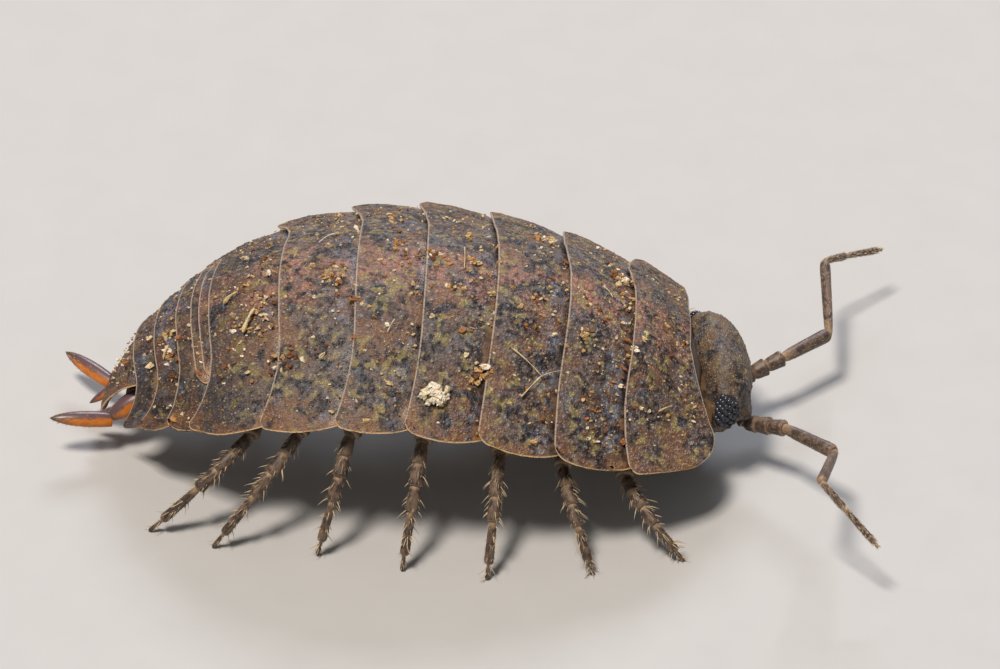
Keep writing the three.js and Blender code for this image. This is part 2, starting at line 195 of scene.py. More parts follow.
def smooth(x):
    x = np.clip(x, 0, 1)
    return x * x * (3 - 2 * x)


def grains(places, spacing, radius, seed, filled=1.0):
    """Height 0 to 1: the largest of (1 - (distance / grain radius)²)², over the near grains."""
    dimensions = places.shape[-1]
    table = np.random.default_rng(seed).random((4099, dimensions + 2))
    steps = np.array([73, 1531, 2203])[:dimensions]
    cell = np.floor(places / spacing).astype(np.int64)
    best = np.zeros(places.shape[:-1])
    for offset in itertools.product((-1, 0, 1), repeat=dimensions):
        near = cell + np.array(offset)
        dice = table[(near * steps).sum(-1) % len(table)]
        middle = (near + 0.15 + 0.7 * dice[..., :dimensions]) * spacing
        size = radius * (0.6 + 0.4 * dice[..., dimensions])
        distance = ((places - middle) ** 2).sum(-1) / size**2
        height = np.clip(1 - distance, 0, 1) ** 2 * (0.45 + 0.55 * dice[..., dimensions])
        best = np.maximum(best, height * (dice[..., dimensions + 1] < filled))
    return best


def ripples(x, y, wavelength, seed):
    """Smooth field from -1 to 1: random values on a square lattice, blended smoothly."""
    table = np.random.default_rng(seed).uniform(-1, 1, (61, 67))
    column, row = np.floor(x / wavelength).astype(int), np.floor(y / wavelength).astype(int)
    u, v = smooth(x / wavelength - column), smooth(y / wavelength - row)
    corner = [[table[(column + i) % 61, (row + j) % 67] for j in (0, 1)] for i in (0, 1)]
    near = corner[0][0] * (1 - v) + corner[0][1] * v
    far = corner[1][0] * (1 - v) + corner[1][1] * v
    return near * (1 - u) + far * u


# %% [markdown]
# ## Colours and nodes
# Colours are written as sRGB hex values and turned to linear light by one function. Each node has a short
# name in one table, and one function adds it with its settings and links. Patterns read attributes in
# millimetres, so that a noise scale of 1 / 0.4 has features about 0.4 mm across.

# %% Material helpers
def colour(code):
    """sRGB hex to linear: c / 12.92 for the darkest values, else ((c + 0.055) / 1.055) to the power 2.4."""
    channels = [int(code[k:k + 2], 16) / 255 for k in (1, 3, 5)]
    return [c / 12.92 if c <= 0.04045 else ((c + 0.055) / 1.055) ** 2.4 for c in channels] + [1.0]


NODES = {                        # kind of node, sockets that its values go to, output, settings
    "vector_mark": ("Attribute", (), "Vector", {}),
    "number_mark": ("Attribute", (), "Fac", {}),
    "own_place": ("TexCoord", (), "Object", {}),
    "parts": ("SeparateXYZ", (0,), None, {}),
    "noise": ("TexNoise", ("Vector", "Scale", "Detail", "Distortion", "Roughness"), 0, {}),
    "cells": ("TexVoronoi", ("Vector", "Scale", "Randomness"), None, {}),
    "stops": ("ValToRGB", (0,), 0, {}),
    # A ramp takes a value, its low and high, and the most that comes out; a line can end in a least as well
    "ramp": ("MapRange", (0, 1, 2, 4), 0, {"interpolation_type": "SMOOTHSTEP"}),
    "line": ("MapRange", (0, 1, 2, 4, 3), 0, {}),
    "plus": ("Math", (0, 1), 0, {"operation": "ADD"}),
    "minus": ("Math", (0, 1), 0, {"operation": "SUBTRACT"}),
    "times": ("Math", (0, 1), 0, {"operation": "MULTIPLY"}),
    "scaled": ("Math", (0, 1, 2), 0, {"operation": "MULTIPLY_ADD"}),
    "larger": ("Math", (0, 1), 0, {"operation": "MAXIMUM"}),
    "size": ("Math", (0,), 0, {"operation": "ABSOLUTE"}),
    # Share, shade below and shade above
    "over": ("Mix", (0, 6, 7), 2, {"data_type": "RGBA"}),
    "relief": ("Bump", ("Height", "Strength", "Distance"), 0, {}),
}


def fill(node, values):
    """Sets a node's sockets: an output is linked in, a hex code becomes a colour, a number stays."""
    for key, value in values.items():
        if isinstance(value, bpy.types.NodeSocket):
            node.id_data.links.new(value, node.inputs[key])
        else:
            node.inputs[key].default_value = colour(value) if isinstance(value, str) else value


def add(tree, short, *values, **settings):
    """Adds the node that NODES has for the short name, and returns its output, or all of them as a set."""
    kind, sockets, output, usual = NODES[short]
    made = tree.nodes.new("ShaderNode" + kind)
    for key, value in (usual | settings).items():
        setattr(made, key, value)
    fill(made, dict(zip(sockets, values)))
    return made.outputs if output is None else made.outputs[output]


def new_material(name):
    """A new material, the function that adds nodes to it, and its shader."""
    material = bpy.data.materials.new(name)
    material.use_nodes = True
    tree = material.node_tree
    return material, functools.partial(add, tree), tree.nodes["Principled BSDF"]


def two_tone_finish(name, scale, dark, light, levels):
    """Two shades mixed by a fine noise in the piece's own space, and levels for the shader's sockets."""
    material, put, shader = new_material(name)
    shade = put("over", put("noise", put("own_place"), scale), dark, light)
    fill(shader, {"Base Color": shade} | levels)
    return material


# %% [markdown]
# ## The finish of the shell plates
# The plates are calcified cuticle, a satin slate grey with violet in it, dusted with pale granules that carry
# painted highlights on their tips and painted shade between them. Olive patches show where muscles attach, a
# pinkish stripe runs along the back, and the front of each plate, where it slides under its neighbour, is
# smooth and blue-black: partly its own dark cuticle, partly painted shade under the neighbour's rim, and a
# blue-grey frost that is partly a painted bluish sheen. Hind edges are thin and pale, and the outer edges let
# light through, which makes them warm brown with a cream rim. The masks for edges come from distances stored on
# the mesh, and noise breaks them up.

# %% Shell finish
SHELL_NOISES = {                 # size of the features in mm, detail, distortion
    "cloud": (1.1, 3.0, 0.0), "mottle": (0.12, 3.0, 0.0), "pools": (0.42, 2.5, 0.8),
    "streak": (0.8, 2.0, 0.3), "steel": (0.34, 2.0, 0.5), "blush": (0.45, 3.0, 0.4),
    "olive": (0.24, 1.0, 0.3), "rust": (0.09, 1.5, 0.0), "warm": (0.3, 2.0, 0.0), "fine": (0.03, 2.0, 0.0),
}
SHELL_NOISE_ROUGHNESS = 0.55


def shell_finish(name, shades, stripe_half=1.25, patches=1.0, dark_tail=0.7):
    """Base, stripe, patches, tail, frost, front strip, corners, flecks and rims, each mixed over the last; the
    frost, front strip and flecks carry painted sheen, shade and highlights.
    """
    material, put, shader = new_material(name)
    lay = put("vector_mark", attribute_name="lay")
    across, station, _ = put("parts", lay)
    front, rim, side = put("parts", put("vector_mark", attribute_name="margins"))
    grain = put("number_mark", attribute_name="grain")
    noise = {key: put("noise", lay, 1 / size, detail, distortion, SHELL_NOISE_ROUGHNESS)
             for key, (size, detail, distortion) in SHELL_NOISES.items()}
    cloud, mottle, pools, streak = (noise[key] for key in ("cloud", "mottle", "pools", "streak"))
    # Slate with dark pools, then steel and brown
    slate = put("ramp", put("plus", mottle, put("times", pools, 0.9)), 0.8, 1.08)
    base = put("over", slate, shades["dark"], shades["slate"])
    steel = put("times", put("ramp", noise["steel"], 0.5, 0.66, 0.75), put("ramp", mottle, 0.35, 0.6))
    base = put("over", steel, base, shades["steel"])
    brown = put("times", put("ramp", cloud, 0.42, 0.6, 0.85), put("ramp", pools, 0.35, 0.55))
    base = put("over", brown, base, shades["brown"])
    # The pinkish stripe along the middle of the back, broken into clouds
    off_middle = put("plus", put("size", across), put("scaled", cloud, -2.4, 1.2))
    stripe = put("ramp", off_middle, stripe_half, stripe_half * 0.2)
    pink = put("times", stripe, put("ramp", noise["blush"], 0.4, 0.6))
    base = put("over", put("times", pink, put("ramp", mottle, 0.3, 0.6, 0.9)), base, shades["pink"])
    # Olive patches and a few rusty spots
    olive = put("ramp", noise["olive"], 0.54, 0.67, patches)
    olive = put("times", olive, put("ramp", mottle, 0.3, 0.55, 0.7))
    base = put("over", olive, base, shades["olive"])
    base = put("over", put("ramp", noise["rust"], 0.66, 0.74, 0.7), base, shades["rust"])
    # Towards the tail the shell is darker, in clouds
    dusk = put("ramp", put("plus", pools, mottle), 0.85, 1.1)
    dusk = put("times", put("ramp", station, 4.6, 3.0, dark_tail), dusk)
    base = put("over", dusk, base, shades["dark"])
    # Frost: a blue-grey tint behind the rim of the plate in front, partly a painted bluish sheen
    frost_and_sheen = put("times", put("ramp", front, 0.6, 0.2), put("ramp", streak, 0.47, 0.37))
    base = put("over", put("times", frost_and_sheen, put("ramp", mottle, 0.35, 0.6, 0.75)), base, shades["frost_and_sheen"])
    # The smooth front strip, dark where the shell is thick and warm where it is thin; its dark is partly the
    # cuticle's own and partly painted shade under the rim of the plate in front
    shaded_strip = put("ramp", put("minus", front, put("times", mottle, 0.2)), 0.08, -0.05)
    strip_shade = put("over", put("ramp", streak, 0.5, 0.58), shades["shaded_strip"], shades["glow"])
    strip_shade = put("over", put("ramp", mottle, 0.45, 0.7, 0.5), strip_shade, shades["slate"])
    base = put("over", put("times", shaded_strip, 0.85), base, strip_shade)
    # Warm, thin shell towards the outer edge and the hind corner
    corner = put("times", put("ramp", side, 1.0, 0.05), put("ramp", put("plus", rim, side), 1.2, 0.1))
    warm = put("larger", corner, put("ramp", side, 0.4, 0.0, 0.8))
    base = put("over", put("times", warm, put("ramp", noise["warm"], 0.35, 0.6, 0.85)), base, shades["warm"])
    # Flecks: tiny pale granules, with painted highlights on their tips and painted shade in the hollows between
    # them
    granules = put("cells", lay, 1 / 0.055, 0.85)
    cells = granules["Distance"]
    tone, _, _ = put("parts", granules["Color"])
    chosen = put("times", put("ramp", tone, 0.45, 1.0), put("ramp", mottle, 0.3, 0.6))
    bare = put("ramp", shaded_strip, 1.0, 0.2, 0.8)
    fleck = put("times", put("ramp", cells, 0.46, 0.08), bare)
    base = put("over", put("times", put("ramp", cells, 0.3, 0.65, 0.65), bare), base, shades["painted_hollow_shade"])
    base = put("over", put("times", put("times", fleck, chosen), 0.8), base, shades["tip"])
    # Painted highlights on the tops of the granules in the mesh
    base = put("over", put("ramp", grain, 0.4, 0.85, 0.22), base, shades["tip"])
    # Pale rims
    base = put("over", put("ramp", rim, 0.028, 0.01, 0.85), base, shades["rim"])
    base = put("over", put("ramp", side, 0.04, 0.012, 0.85), base, shades["edge"])
    rough = put("scaled", shaded_strip, -0.2, put("scaled", mottle, 0.25, 0.38))
    height = put("plus", fleck, put("times", noise["fine"], 0.4))
    fill(shader, {"Base Color": base, "Roughness": rough, "Normal": put("relief", height, 1.0, 0.000027),
                  "Specular IOR Level": 0.4})
    return material


# Of these, frost is partly a painted bluish sheen, strip partly painted shade, hollow painted shade and tip a
# painted highlight
PLATE_SHADES = {
    "dark": "#1e1b21", "steel": "#626a79", "slate": "#75665f", "brown": "#846046", "pink": "#b47f69",
    "olive": "#a39457", "rust": "#9a5226", "shaded_strip": "#221d1d", "glow": "#6a4f35", "frost_and_sheen": "#7f879b",
    "warm": "#9a6840", "painted_hollow_shade": "#15110f", "tip": "#cfc8bf", "rim": "#a39384", "edge": "#c9aa7e",
}
plate_material = shell_finish("calcified_cuticle_plates", PLATE_SHADES)

# %% [markdown]
# ## The shape of a plate
# A plate is a thin slice of the back between a front and a hind edge, whose corners are drawn backwards more
# and more towards the tail. It rises a little from its front to its free hind edge, so the plates lie over
# each other like roof tiles. Its section is a closed loop: many rows on top, a rounded hind bead, a few rows
# underneath and a rounded front. The bead, a furrow along each flank, slow ripples and two sizes of granule
# are all added as height.

# %% Plate shape
PLATE_LIFT = 0.075
PLATE_THICKNESS = 0.075
SURFACE_MARGIN = 0.01
FLANK_BOW, FRONT_CORNER_BOW = 0.035, 0.07
SWEEP_FROM = 0.45
NOTCH, NOTCH_POWER = 12.5, 1.35
RIGHT_FORWARDS, LEFT_FORWARDS = 1.0, 0.16
CORNER_FROM, CORNER_OVER, RIGHT_DROP, LEFT_DROP = 0.72, 0.36, 1.0, 0.15
BEAD_ROWS = [0.0, 0.006, 0.014, 0.024, 0.036, 0.05]
RIM_COLUMNS = [0.0, 0.0006, 0.002, 0.004, 0.007]
FURROW_AT, FURROW_HALF = 0.67, 0.05


def corner_sweep(t):
    return np.maximum(0, (np.abs(t) - SWEEP_FROM) / (1 - SWEEP_FROM)) ** 2


def plate_loop(rows):
    """Share along (0 hind, 1 front) and depth (0 top, 1 underside) for the points of a plate's section."""
    top = np.concatenate([BEAD_ROWS, np.linspace(0.06, 1, rows)])
    under = np.linspace(0.995, 0.004, 9)
    along = np.concatenate([top, [1.004], under, [-0.004, -0.007, -0.005]])
    depth = np.concatenate([0 * top, [0.5], 0 * under + 1, [0.8, 0.5, 0.2]])
    return along[None, :], depth[None, :]


def plate_columns(columns):
    """Share across, from -1 to 1, with extra columns close to both ends."""
    ends = 1 - np.array(RIM_COLUMNS)
    return np.concatenate([-ends, np.linspace(-0.99, 0.99, columns), ends[::-1]])[:, None]


def swept_edge(s, sweep):
    """A straight edge with swept corners, as a function of t."""
    return lambda t: s - sweep * corner_sweep(t)


def first_front_edge(t):
    """The notch, then forwards by a share of |t|^1.35, less a quarter-ellipse drop at the corner."""
    out = np.abs(t)
    forwards = np.where(np.less(t, 0), RIGHT_FORWARDS, LEFT_FORWARDS)
    drop = np.where(np.less(t, 0), RIGHT_DROP, LEFT_DROP)
    corner = np.clip((out - CORNER_FROM) / CORNER_OVER, 0, 1)
    return NOTCH + forwards * out**NOTCH_POWER - drop * (1 - np.sqrt(1 - corner**2))


def plate_outline(edge, along, across):
    """Station and share across: the flank bows out in its middle, and the hind corner is a small arc."""
    bulge = FLANK_BOW * (4 * along * (1 - along) - 1) - FRONT_CORNER_BOW * np.clip(along, 0, 1)**3
    level = edge["hind"](0.0)
    inset = np.clip(edge["corner"] - np.clip(along, 0, 1) * (edge["front"](0.0) - level), 0, None)
    shrink = edge["corner"] - np.sqrt(edge["corner"] ** 2 - inset**2)
    t = across * edge["reach"] * (1 + bulge * edge["rounding"]) * (1 - shrink / half_width(level))
    front, hind = edge["front"](t), edge["hind"](t)
    return hind + (front - hind) * along, t, hind, front


def plate_arrays(edge, rows, columns, outline=plate_outline):
    """Points, faces and marks of one plate. Height on top = rise + bead + ripples + granules - furrow."""
    along, depth = plate_loop(rows)
    across = plate_columns(columns)
    s, t, hind, front = outline(edge, along, across)
    flat = back_point(s, t, 0.0)
    steps = np.linalg.norm(np.diff(flat, axis=0), axis=-1)
    arc = np.concatenate([np.zeros((1, s.shape[1])), np.cumsum(steps, axis=0)])
    side = np.minimum(arc, arc[-1] - arc)
    arc = arc - arc[-1] / 2
    rim = s - hind
    if edge["cover"] is None:
        gap = np.full(s.shape, 9.0)
        rim = np.minimum(rim, front - s)
    else:
        gap = edge["cover"](t) - s
    places = np.stack([arc, s + 3.7 * edge["seed"]], axis=-1)
    clear = smooth(side / 0.09) * smooth((rim - 0.03) / 0.06) * (0.25 + 0.75 * smooth((gap - 0.12) / 0.2))
    granule = grains(places, 0.08, 0.055, 11, 0.9)
    knob = grains(places, 0.21, 0.075, 12, 0.55)
    grain = np.maximum(granule * 0.6, knob) * clear
    furrow = np.exp(-((np.abs(t) - FURROW_AT) / FURROW_HALF) ** 2) * edge["furrow"]
    swell = np.sin(np.pi * np.clip(along, 0, 1))
    height = 0.03 * grain + 0.008 * np.exp(-(rim / 0.025) ** 2) + 0.01 * np.exp(-(side / 0.04) ** 2)
    height += 0.02 * ripples(arc, places[..., 1], 0.7, 13)
    height += 0.012 * ripples(arc, places[..., 1], 0.28, 14)
    height += (0.02 * swell - 0.03 * furrow) * smooth(side / 0.3)
    thickness = edge["thickness"] * (0.25 + 0.75 * smooth(side / 0.12)) * (0.65 + 0.35 * smooth(rim / 0.2))
    rise = edge.get("hind_lift", PLATE_LIFT)
    top = rise + (edge["front_lift"] - rise) * along - SURFACE_MARGIN + height
    points = back_point(s, t, top - thickness * depth - 0.02 * (1 - smooth(side / 0.05)) * (1 - depth))
    shape = s.shape
    points = points.reshape(-1, 3)
    marks = {
        "lay": np.stack([arc, s, np.full(shape, 5.0 * edge["seed"])], axis=-1).reshape(-1, 3),
        "margins": np.stack([gap, rim, side], axis=-1).reshape(-1, 3),
        "grain": grain.ravel(),
    }
    return points, facing_out(points, tube_faces(*shape)), marks


# %% [markdown]
# ## Seven trunk plates and five tail plates
# Each row of the table is a free hind edge on the midline and how far its corners are swept back. The trunk
# plates reach down over the flanks. The first two tail plates are narrow and tucked between the corners of
# the last trunk plate, and the other three end in backward hooks.

# %% Trunk and tail plates
TRUNK_PLATES = [
    (11.13, -0.34), (9.77, -0.16), (8.39, 0.02), (7.11, 0.2), (5.91, 0.38), (4.55, 0.56), (3.2, 0.78),
]
TAIL_PLATES = [(3.0, 0.0, 0.66), (2.82, 0.0, 0.7), (2.48, 0.66, 1.06), (1.94, 0.78, 1.08), (1.42, 0.86, 1.08)]
TRUNK_OVERLAP, TAIL_OVERLAP = 0.36, 0.2
TRUNK_REACH = 1.07
TRUNK_SWEEP_STEP, TAIL_SWEEP_STEP, TAIL_SWEEP_MOST = 0.1, 0.05, 0.7
TRUNK_EDGE = {"reach": TRUNK_REACH, "corner": 0.2, "furrow": 1.0, "thickness": PLATE_THICKNESS}
TAIL_EDGE = {
    "front_lift": -PLATE_LIFT, "rounding": 1.5, "corner": 0.16, "furrow": 0.0, "thickness": PLATE_THICKNESS,
}


def trunk_edges():
    """One record for each trunk plate, front to hind; its front edge is tucked under the plate before."""
    edges = []
    for number, (hind, sweep) in enumerate(TRUNK_PLATES):
        edge = TRUNK_EDGE | {"node": f"pereonite_{number + 1}", "seed": number}
        edge["hind"] = swept_edge(hind, sweep)
        if edges:
            cover_hind, cover_sweep = TRUNK_PLATES[number - 1]
            tucked = swept_edge(cover_hind + TRUNK_OVERLAP, cover_sweep - TRUNK_SWEEP_STEP)
            edge |= {"front": tucked, "front_lift": -PLATE_LIFT, "rounding": 1.0, "cover": edges[-1]["hind"]}
        else:
            edge |= {"front": first_front_edge, "front_lift": 0.0, "rounding": 0.0, "cover": None}
        edges.append(edge)
    return edges


def tail_edges():
    """One record for each tail plate, front to hind."""
    covers = [TRUNK_PLATES[-1] + (0,)] + TAIL_PLATES
    edges = []
    for number, (hind, sweep, reach) in enumerate(TAIL_PLATES):
        cover_hind, cover_sweep, _ = covers[number]
        front_sweep = min(cover_sweep, TAIL_SWEEP_MOST) - TAIL_SWEEP_STEP
        edges.append(TAIL_EDGE | {
            "node": f"pleonite_{number + 1}", "seed": 7 + number, "reach": reach,
            "hind": swept_edge(hind, sweep), "cover": swept_edge(cover_hind, cover_sweep),
            "front": swept_edge(cover_hind + TAIL_OVERLAP, front_sweep),
        })
    return edges


plates = trunk_edges() + tail_edges()
for edge in plates:
    rows, columns = (88, 521) if edge["reach"] == TRUNK_REACH else (34, 301)
    points, faces, marks = plate_arrays(edge, rows, columns)
    new_piece("shell_" + edge["node"], points, faces, plate_material, [edge["node"]], marks)

# %% [markdown]
# ## The tail point
# The last plate is a triangle with hollowed sides and a long point between the tail forks. It uses the same
# slice of the back with another outline: its half width is a power of the share along.

# %% Telson
TAIL_TIP, TIP_HALF, TAIL_HALF, HOLLOWING = -0.2, 0.05, 1.07, 1.35


def telson_outline(edge, along, across):
    """Half width 0.05 + 1.07 share^1.35 in mm, given as a share of the back's own half width there."""
    share = np.clip(along, 0.0, 1)
    front = edge["front"]
    s = TAIL_TIP + (front - TAIL_TIP) * along + 0 * across
    t = across * (TIP_HALF + TAIL_HALF * share**HOLLOWING) / half_width(s)
    return s, t, TAIL_TIP + 0 * s, front + 0 * s


telson_edge = {
    "front": TAIL_PLATES[-1][0] + TAIL_OVERLAP, "front_lift": -PLATE_LIFT, "cover": plates[-1]["hind"],
    "seed": 13, "furrow": 0.0, "thickness": 0.14,
}
points, faces, marks = plate_arrays(telson_edge, 60, 81, telson_outline)
new_piece("shell_telson", points, faces, plate_material, ["telson"], marks)

# %% [markdown]
# ## The head
# The head is a rounded capsule, a little squarer than an egg, turned down at the front, with a small lobe in
# the middle of its front and a larger one before each eye. A raised line runs from lobe to lobe above the
# face. Directions on it are given as azimuth, from straight ahead towards the left, and elevation in degrees.

# %% Head shape
HEAD_CENTRE = np.array([5.89, 0.09, -1.36]) + MID_BODY_PLACE
HEAD_HALF = np.array([0.79, 1.47, 1.03])
HEAD_BACK = 0.51
HEAD_PITCH, HEAD_YAW, HEAD_SQUARENESS = 0.31, 0.23, 0.88
HEAD_LOBES = [(0, 4, 16), (46, 0, 15), (-46, 0, 15)]
LOBE_SWELL = 0.03
EYE_AZIMUTH, EYE_ELEVATION, EYE_HALF = 92, 7, 17
HEAD_RELIEF = [                  # height in mm, azimuth, elevation and two half sizes in degrees
    (0.1, 46, -4, 13, 9), (0.07, 0, 6, 9, 7), (-0.07, 20, 6, 9, 10), (0.06, 0, -42, 24, 10),
    (0.06, 58, -40, 16, 14), (0.05, 25, -18, 13, 11), (-0.14, 25, -18, 8, 7), (-0.03, 0, -26, 4, 10),
]


def head_point(azimuth, elevation, lift):
    """Half axes times the direction to the power 0.88, swollen at the lobes, pitched down, turned left."""
    a, e = np.radians(azimuth), np.radians(elevation)
    wrapped = (azimuth + 180) % 360 - 180
    squares = [((wrapped - at) ** 2 + (elevation - level) ** 2) / wide**2 for at, level, wide in HEAD_LOBES]
    swell = 1 + LOBE_SWELL * sum(np.exp(-square) for square in squares)
    direction = [np.cos(a) * np.cos(e), np.sin(a) * np.cos(e), np.sin(e)]
    direction = np.stack(np.broadcast_arrays(*direction), axis=-1)
    squared = np.sign(direction) * np.abs(direction) ** HEAD_SQUARENESS * HEAD_HALF
    squared[..., 0] *= np.where(direction[..., 0] < 0, HEAD_BACK / HEAD_HALF[0], 1)
    squared[..., :2] *= np.broadcast_to(swell, squared.shape[:-1])[..., None]
    x, y, z = np.moveaxis(squared + direction * np.broadcast_to(lift, squared.shape[:-1])[..., None], -1, 0)
    cos, sin = math.cos(HEAD_PITCH), math.sin(HEAD_PITCH)
    x, z = x * cos + z * sin, z * cos - x * sin
    cos, sin = math.cos(HEAD_YAW), math.sin(HEAD_YAW)
    return np.stack([x * cos - y * sin, x * sin + y * cos, z], axis=-1) + HEAD_CENTRE


def bell(azimuth, elevation, at, level, half_wide, half_high):
    """A smooth bump of height 1 on both sides of the head: a Gaussian of the two offsets in degrees."""
    return np.exp(-(((np.abs(azimuth) - at) / half_wide) ** 2) - ((elevation - level) / half_high) ** 2)


azimuth, elevation = np.meshgrid(np.linspace(-180, 180, 340, endpoint=False), np.linspace(-89.5, 89.5, 180))
plain_head = head_point(azimuth, elevation, 0.0)
aside = np.abs(azimuth)
eye_off = np.hypot(aside - EYE_AZIMUTH, elevation - EYE_ELEVATION) / EYE_HALF
brow = 2 + 3 * np.cos(np.radians(4 * azimuth))
face = smooth((brow - 2 - elevation) / 8) * smooth((100 - aside) / 25)
head_lift = sum(height * bell(azimuth, elevation, *place) for height, *place in HEAD_RELIEF) - 0.07 * face
# The raised line above the face, the ring round each eye, the hollow behind it and a line over the crown
head_lift += 0.035 * np.exp(-((elevation - brow) / 3.5) ** 2) * smooth((80 - aside) / 15)
head_lift += 0.03 * np.exp(-((eye_off - 1.15) / 0.16) ** 2) - 0.05 * smooth((1.05 - eye_off) / 0.2)
head_lift -= 0.1 * smooth((aside - 112) / 16) * smooth((38 - elevation) / 30)
crown = elevation - 40 - 14 * np.cos(np.radians(azimuth))
head_lift -= 0.025 * np.exp(-(crown / 4) ** 2) * smooth((80 - aside) / 20)
# Granules and slow ripples, kept off the face and the eyes
clear = smooth((eye_off - 1.05) / 0.25) * (1 - 0.8 * face)
granule = grains(plain_head, 0.085, 0.055, 21, 0.85)
knob = grains(plain_head, 0.19, 0.08, 22, 0.7)
head_grain = np.maximum(granule * 0.6, knob) * clear
uneven = ripples(plain_head[..., 1], plain_head[..., 0] + plain_head[..., 2], 0.4, 23)
head_lift += 0.03 * head_grain + 0.018 * uneven - 0.03
head_points = head_point(azimuth, elevation, head_lift).reshape(-1, 3)
head_marks = {
    "lay": plain_head.reshape(-1, 3),
    "margins": np.stack([np.full(azimuth.size, 9.0)] * 3, axis=-1),
    "grain": head_grain.ravel(),
}
HEAD_SHADES = PLATE_SHADES | {"dark": "#2b272b", "slate": "#76685a", "brown": "#7b6349", "olive": "#8c7b50"}
head_material = shell_finish("calcified_cuticle_head", HEAD_SHADES,
                             stripe_half=0.01, patches=0.7, dark_tail=0.0)
new_piece("head_capsule", head_points, facing_out(head_points, tube_faces(*azimuth.shape)), head_material,
          ["head"], head_marks)

# %% [markdown]
# ## The collar of the head
# Behind, the head slides under the first plate on a smooth collar, dark partly in its own cuticle and partly as
# painted shade in the gap under the plate. It is a slice of the same back, a little deeper than the plate over
# it, whose front edge follows the plate's notch and ends inside the head.

# %% Collar
COLLAR_HIND, COLLAR_REACH, COLLAR_LONG, COLLAR_LIFTS = 12.1, 0.7, 0.34, (-0.085, -0.16)


def collar_front(t):
    """Runs before the notch by 0.34 mm in the middle, and by nothing at the collar's own ends."""
    return first_front_edge(t) + COLLAR_LONG * (1 - (t / COLLAR_REACH) ** 4)


collar_edge = {
    "hind": swept_edge(COLLAR_HIND, 0.0), "front": collar_front, "reach": COLLAR_REACH,
    "hind_lift": COLLAR_LIFTS[0], "front_lift": COLLAR_LIFTS[1], "cover": first_front_edge,
    "rounding": 0.0, "corner": 0.05, "furrow": 0.0, "seed": 15, "thickness": 0.1,
}
points, faces, marks = plate_arrays(collar_edge, 30, 121)
# Fronts of 0 give the whole collar the dark front strip: partly smooth dark cuticle, partly painted shade in
# the gap under the first plate
marks["margins"][:] = [0.0, 9.0, 9.0]
new_piece("head_collar", points, faces, head_material, marks=marks)

# %% [markdown]
# ## The eyes
# A woodlouse eye is a cluster of about two dozen small glossy lenses on the side of the head. Each lens is a
# little dome. The domes stand in a slanted grid, and lie on a low dark cushion.

# %% Eyes
LENS_PITCH, LENS_RADIUS = 0.118, 0.069
EYE_ALONG, EYE_UP = 0.36, 0.3        # half sizes of an eye in mm
AZIMUTH_PER_MM, ELEVATION_PER_MM = 52, 56
EYE_SLANT = 0.25


def dome_arrays(middles, outwards, radius, rings=7, sides=14):
    """A sphere of rings round each middle: radius times a grid of directions about its outward axis."""
    tilt = np.linspace(0.12, np.pi - 0.12, rings)[:, None]
    turn = np.linspace(0, 2 * np.pi, sides, endpoint=False)[None, :]
    first = unit(np.cross(outwards, [0.31, 0.2, 0.93]))
    second = np.cross(outwards, first)
    parts = [
        (np.cos(tilt) * np.ones_like(turn), outwards),
        (np.sin(tilt) * np.cos(turn), first),
        (np.sin(tilt) * np.sin(turn), second),
    ]
    grid = sum(share[None, ..., None] * axis[:, None, None, :] for share, axis in parts)
    points = middles[:, None, None, :] + radius * grid
    return points.reshape(len(middles), -1, 3)


def repeated(points, face_sets):
    """The same faces for every copy, with face numbers moved past the points of the copies before."""
    count, size = points.shape[:2]
    offset = (np.arange(count) * size)[:, None, None]
    return points.reshape(-1, 3), [(faces[None] + offset).reshape(-1, faces.shape[1]) for faces in face_sets]


def eye_place(sign, u, v):
    """Azimuth and elevation of the point u mm along and v mm up from the middle of an eye."""
    return sign * (EYE_AZIMUTH + u * AZIMUTH_PER_MM), EYE_ELEVATION + (v + EYE_SLANT * u) * ELEVATION_PER_MM


def eye_arrays(sign):
    """Lenses where a slanted grid of points falls in the eye's oval, with a low cushion under them."""
    row, column = np.meshgrid(np.arange(-4, 5), np.arange(-4, 5), indexing="ij")
    u = (column + 0.5 * (row % 2)) * LENS_PITCH
    v = row * LENS_PITCH * 0.87
    inside = np.hypot(u / EYE_ALONG, v / EYE_UP) < 1.02
    dice = np.random.default_rng(5).uniform(-0.012, 0.012, (2, inside.sum()))
    u, v = u[inside] + dice[0], v[inside] + dice[1]
    place = eye_place(sign, u, v)
    middles = head_point(*place, 0.038 - 0.045 * (u**2 + v**2) / EYE_ALONG**2)
    outwards = unit(head_point(*place, 1.0) - head_point(*place, 0.0))
    lenses, faces = repeated(dome_arrays(middles, outwards, LENS_RADIUS), tube_faces(7, 14))
    tilt = np.linspace(0.04, np.pi - 0.04, 14)[:, None]
    turn = np.linspace(0, 2 * np.pi, 28, endpoint=False)[None, :]
    u, v = 1.15 * EYE_ALONG * np.sin(tilt) * np.cos(turn), 1.15 * EYE_UP * np.sin(tilt) * np.sin(turn)
    lift = -0.03 + 0.085 * np.cos(tilt) + 0 * turn
    cushion = head_point(*eye_place(sign, u, v), lift).reshape(-1, 3)
    parts = [(lenses, facing_out(lenses, faces), {}), (cushion, facing_out(cushion, tube_faces(14, 28)), {})]
    return joined(parts)


# Lens cuticle is black and glossy; a fine noise mixes in a blue-grey that is a painted bluish sheen
lens_levels = {"Roughness": 0.16, "IOR": 1.5}
lens_material = two_tone_finish("lens_cuticle_black", 4000.0, "#1b1a20", "#373b47", lens_levels)
for side_name, sign in (("right", -1), ("left", 1)):
    points, faces, _ = eye_arrays(sign)
    new_piece(f"eye_{side_name}_lenses", points, faces, lens_material, [f"eye_{side_name}"])

# %% [markdown]
# ## Limbs as jointed tubes
# Legs, feelers and tail forks are rows of articles. Each article is narrow where it starts and flares to its
# far end, where a band of thin pale skin lets the next one move. One function carries a section along a path:
# it places a ring at each path point, square to the path, with its own radius.

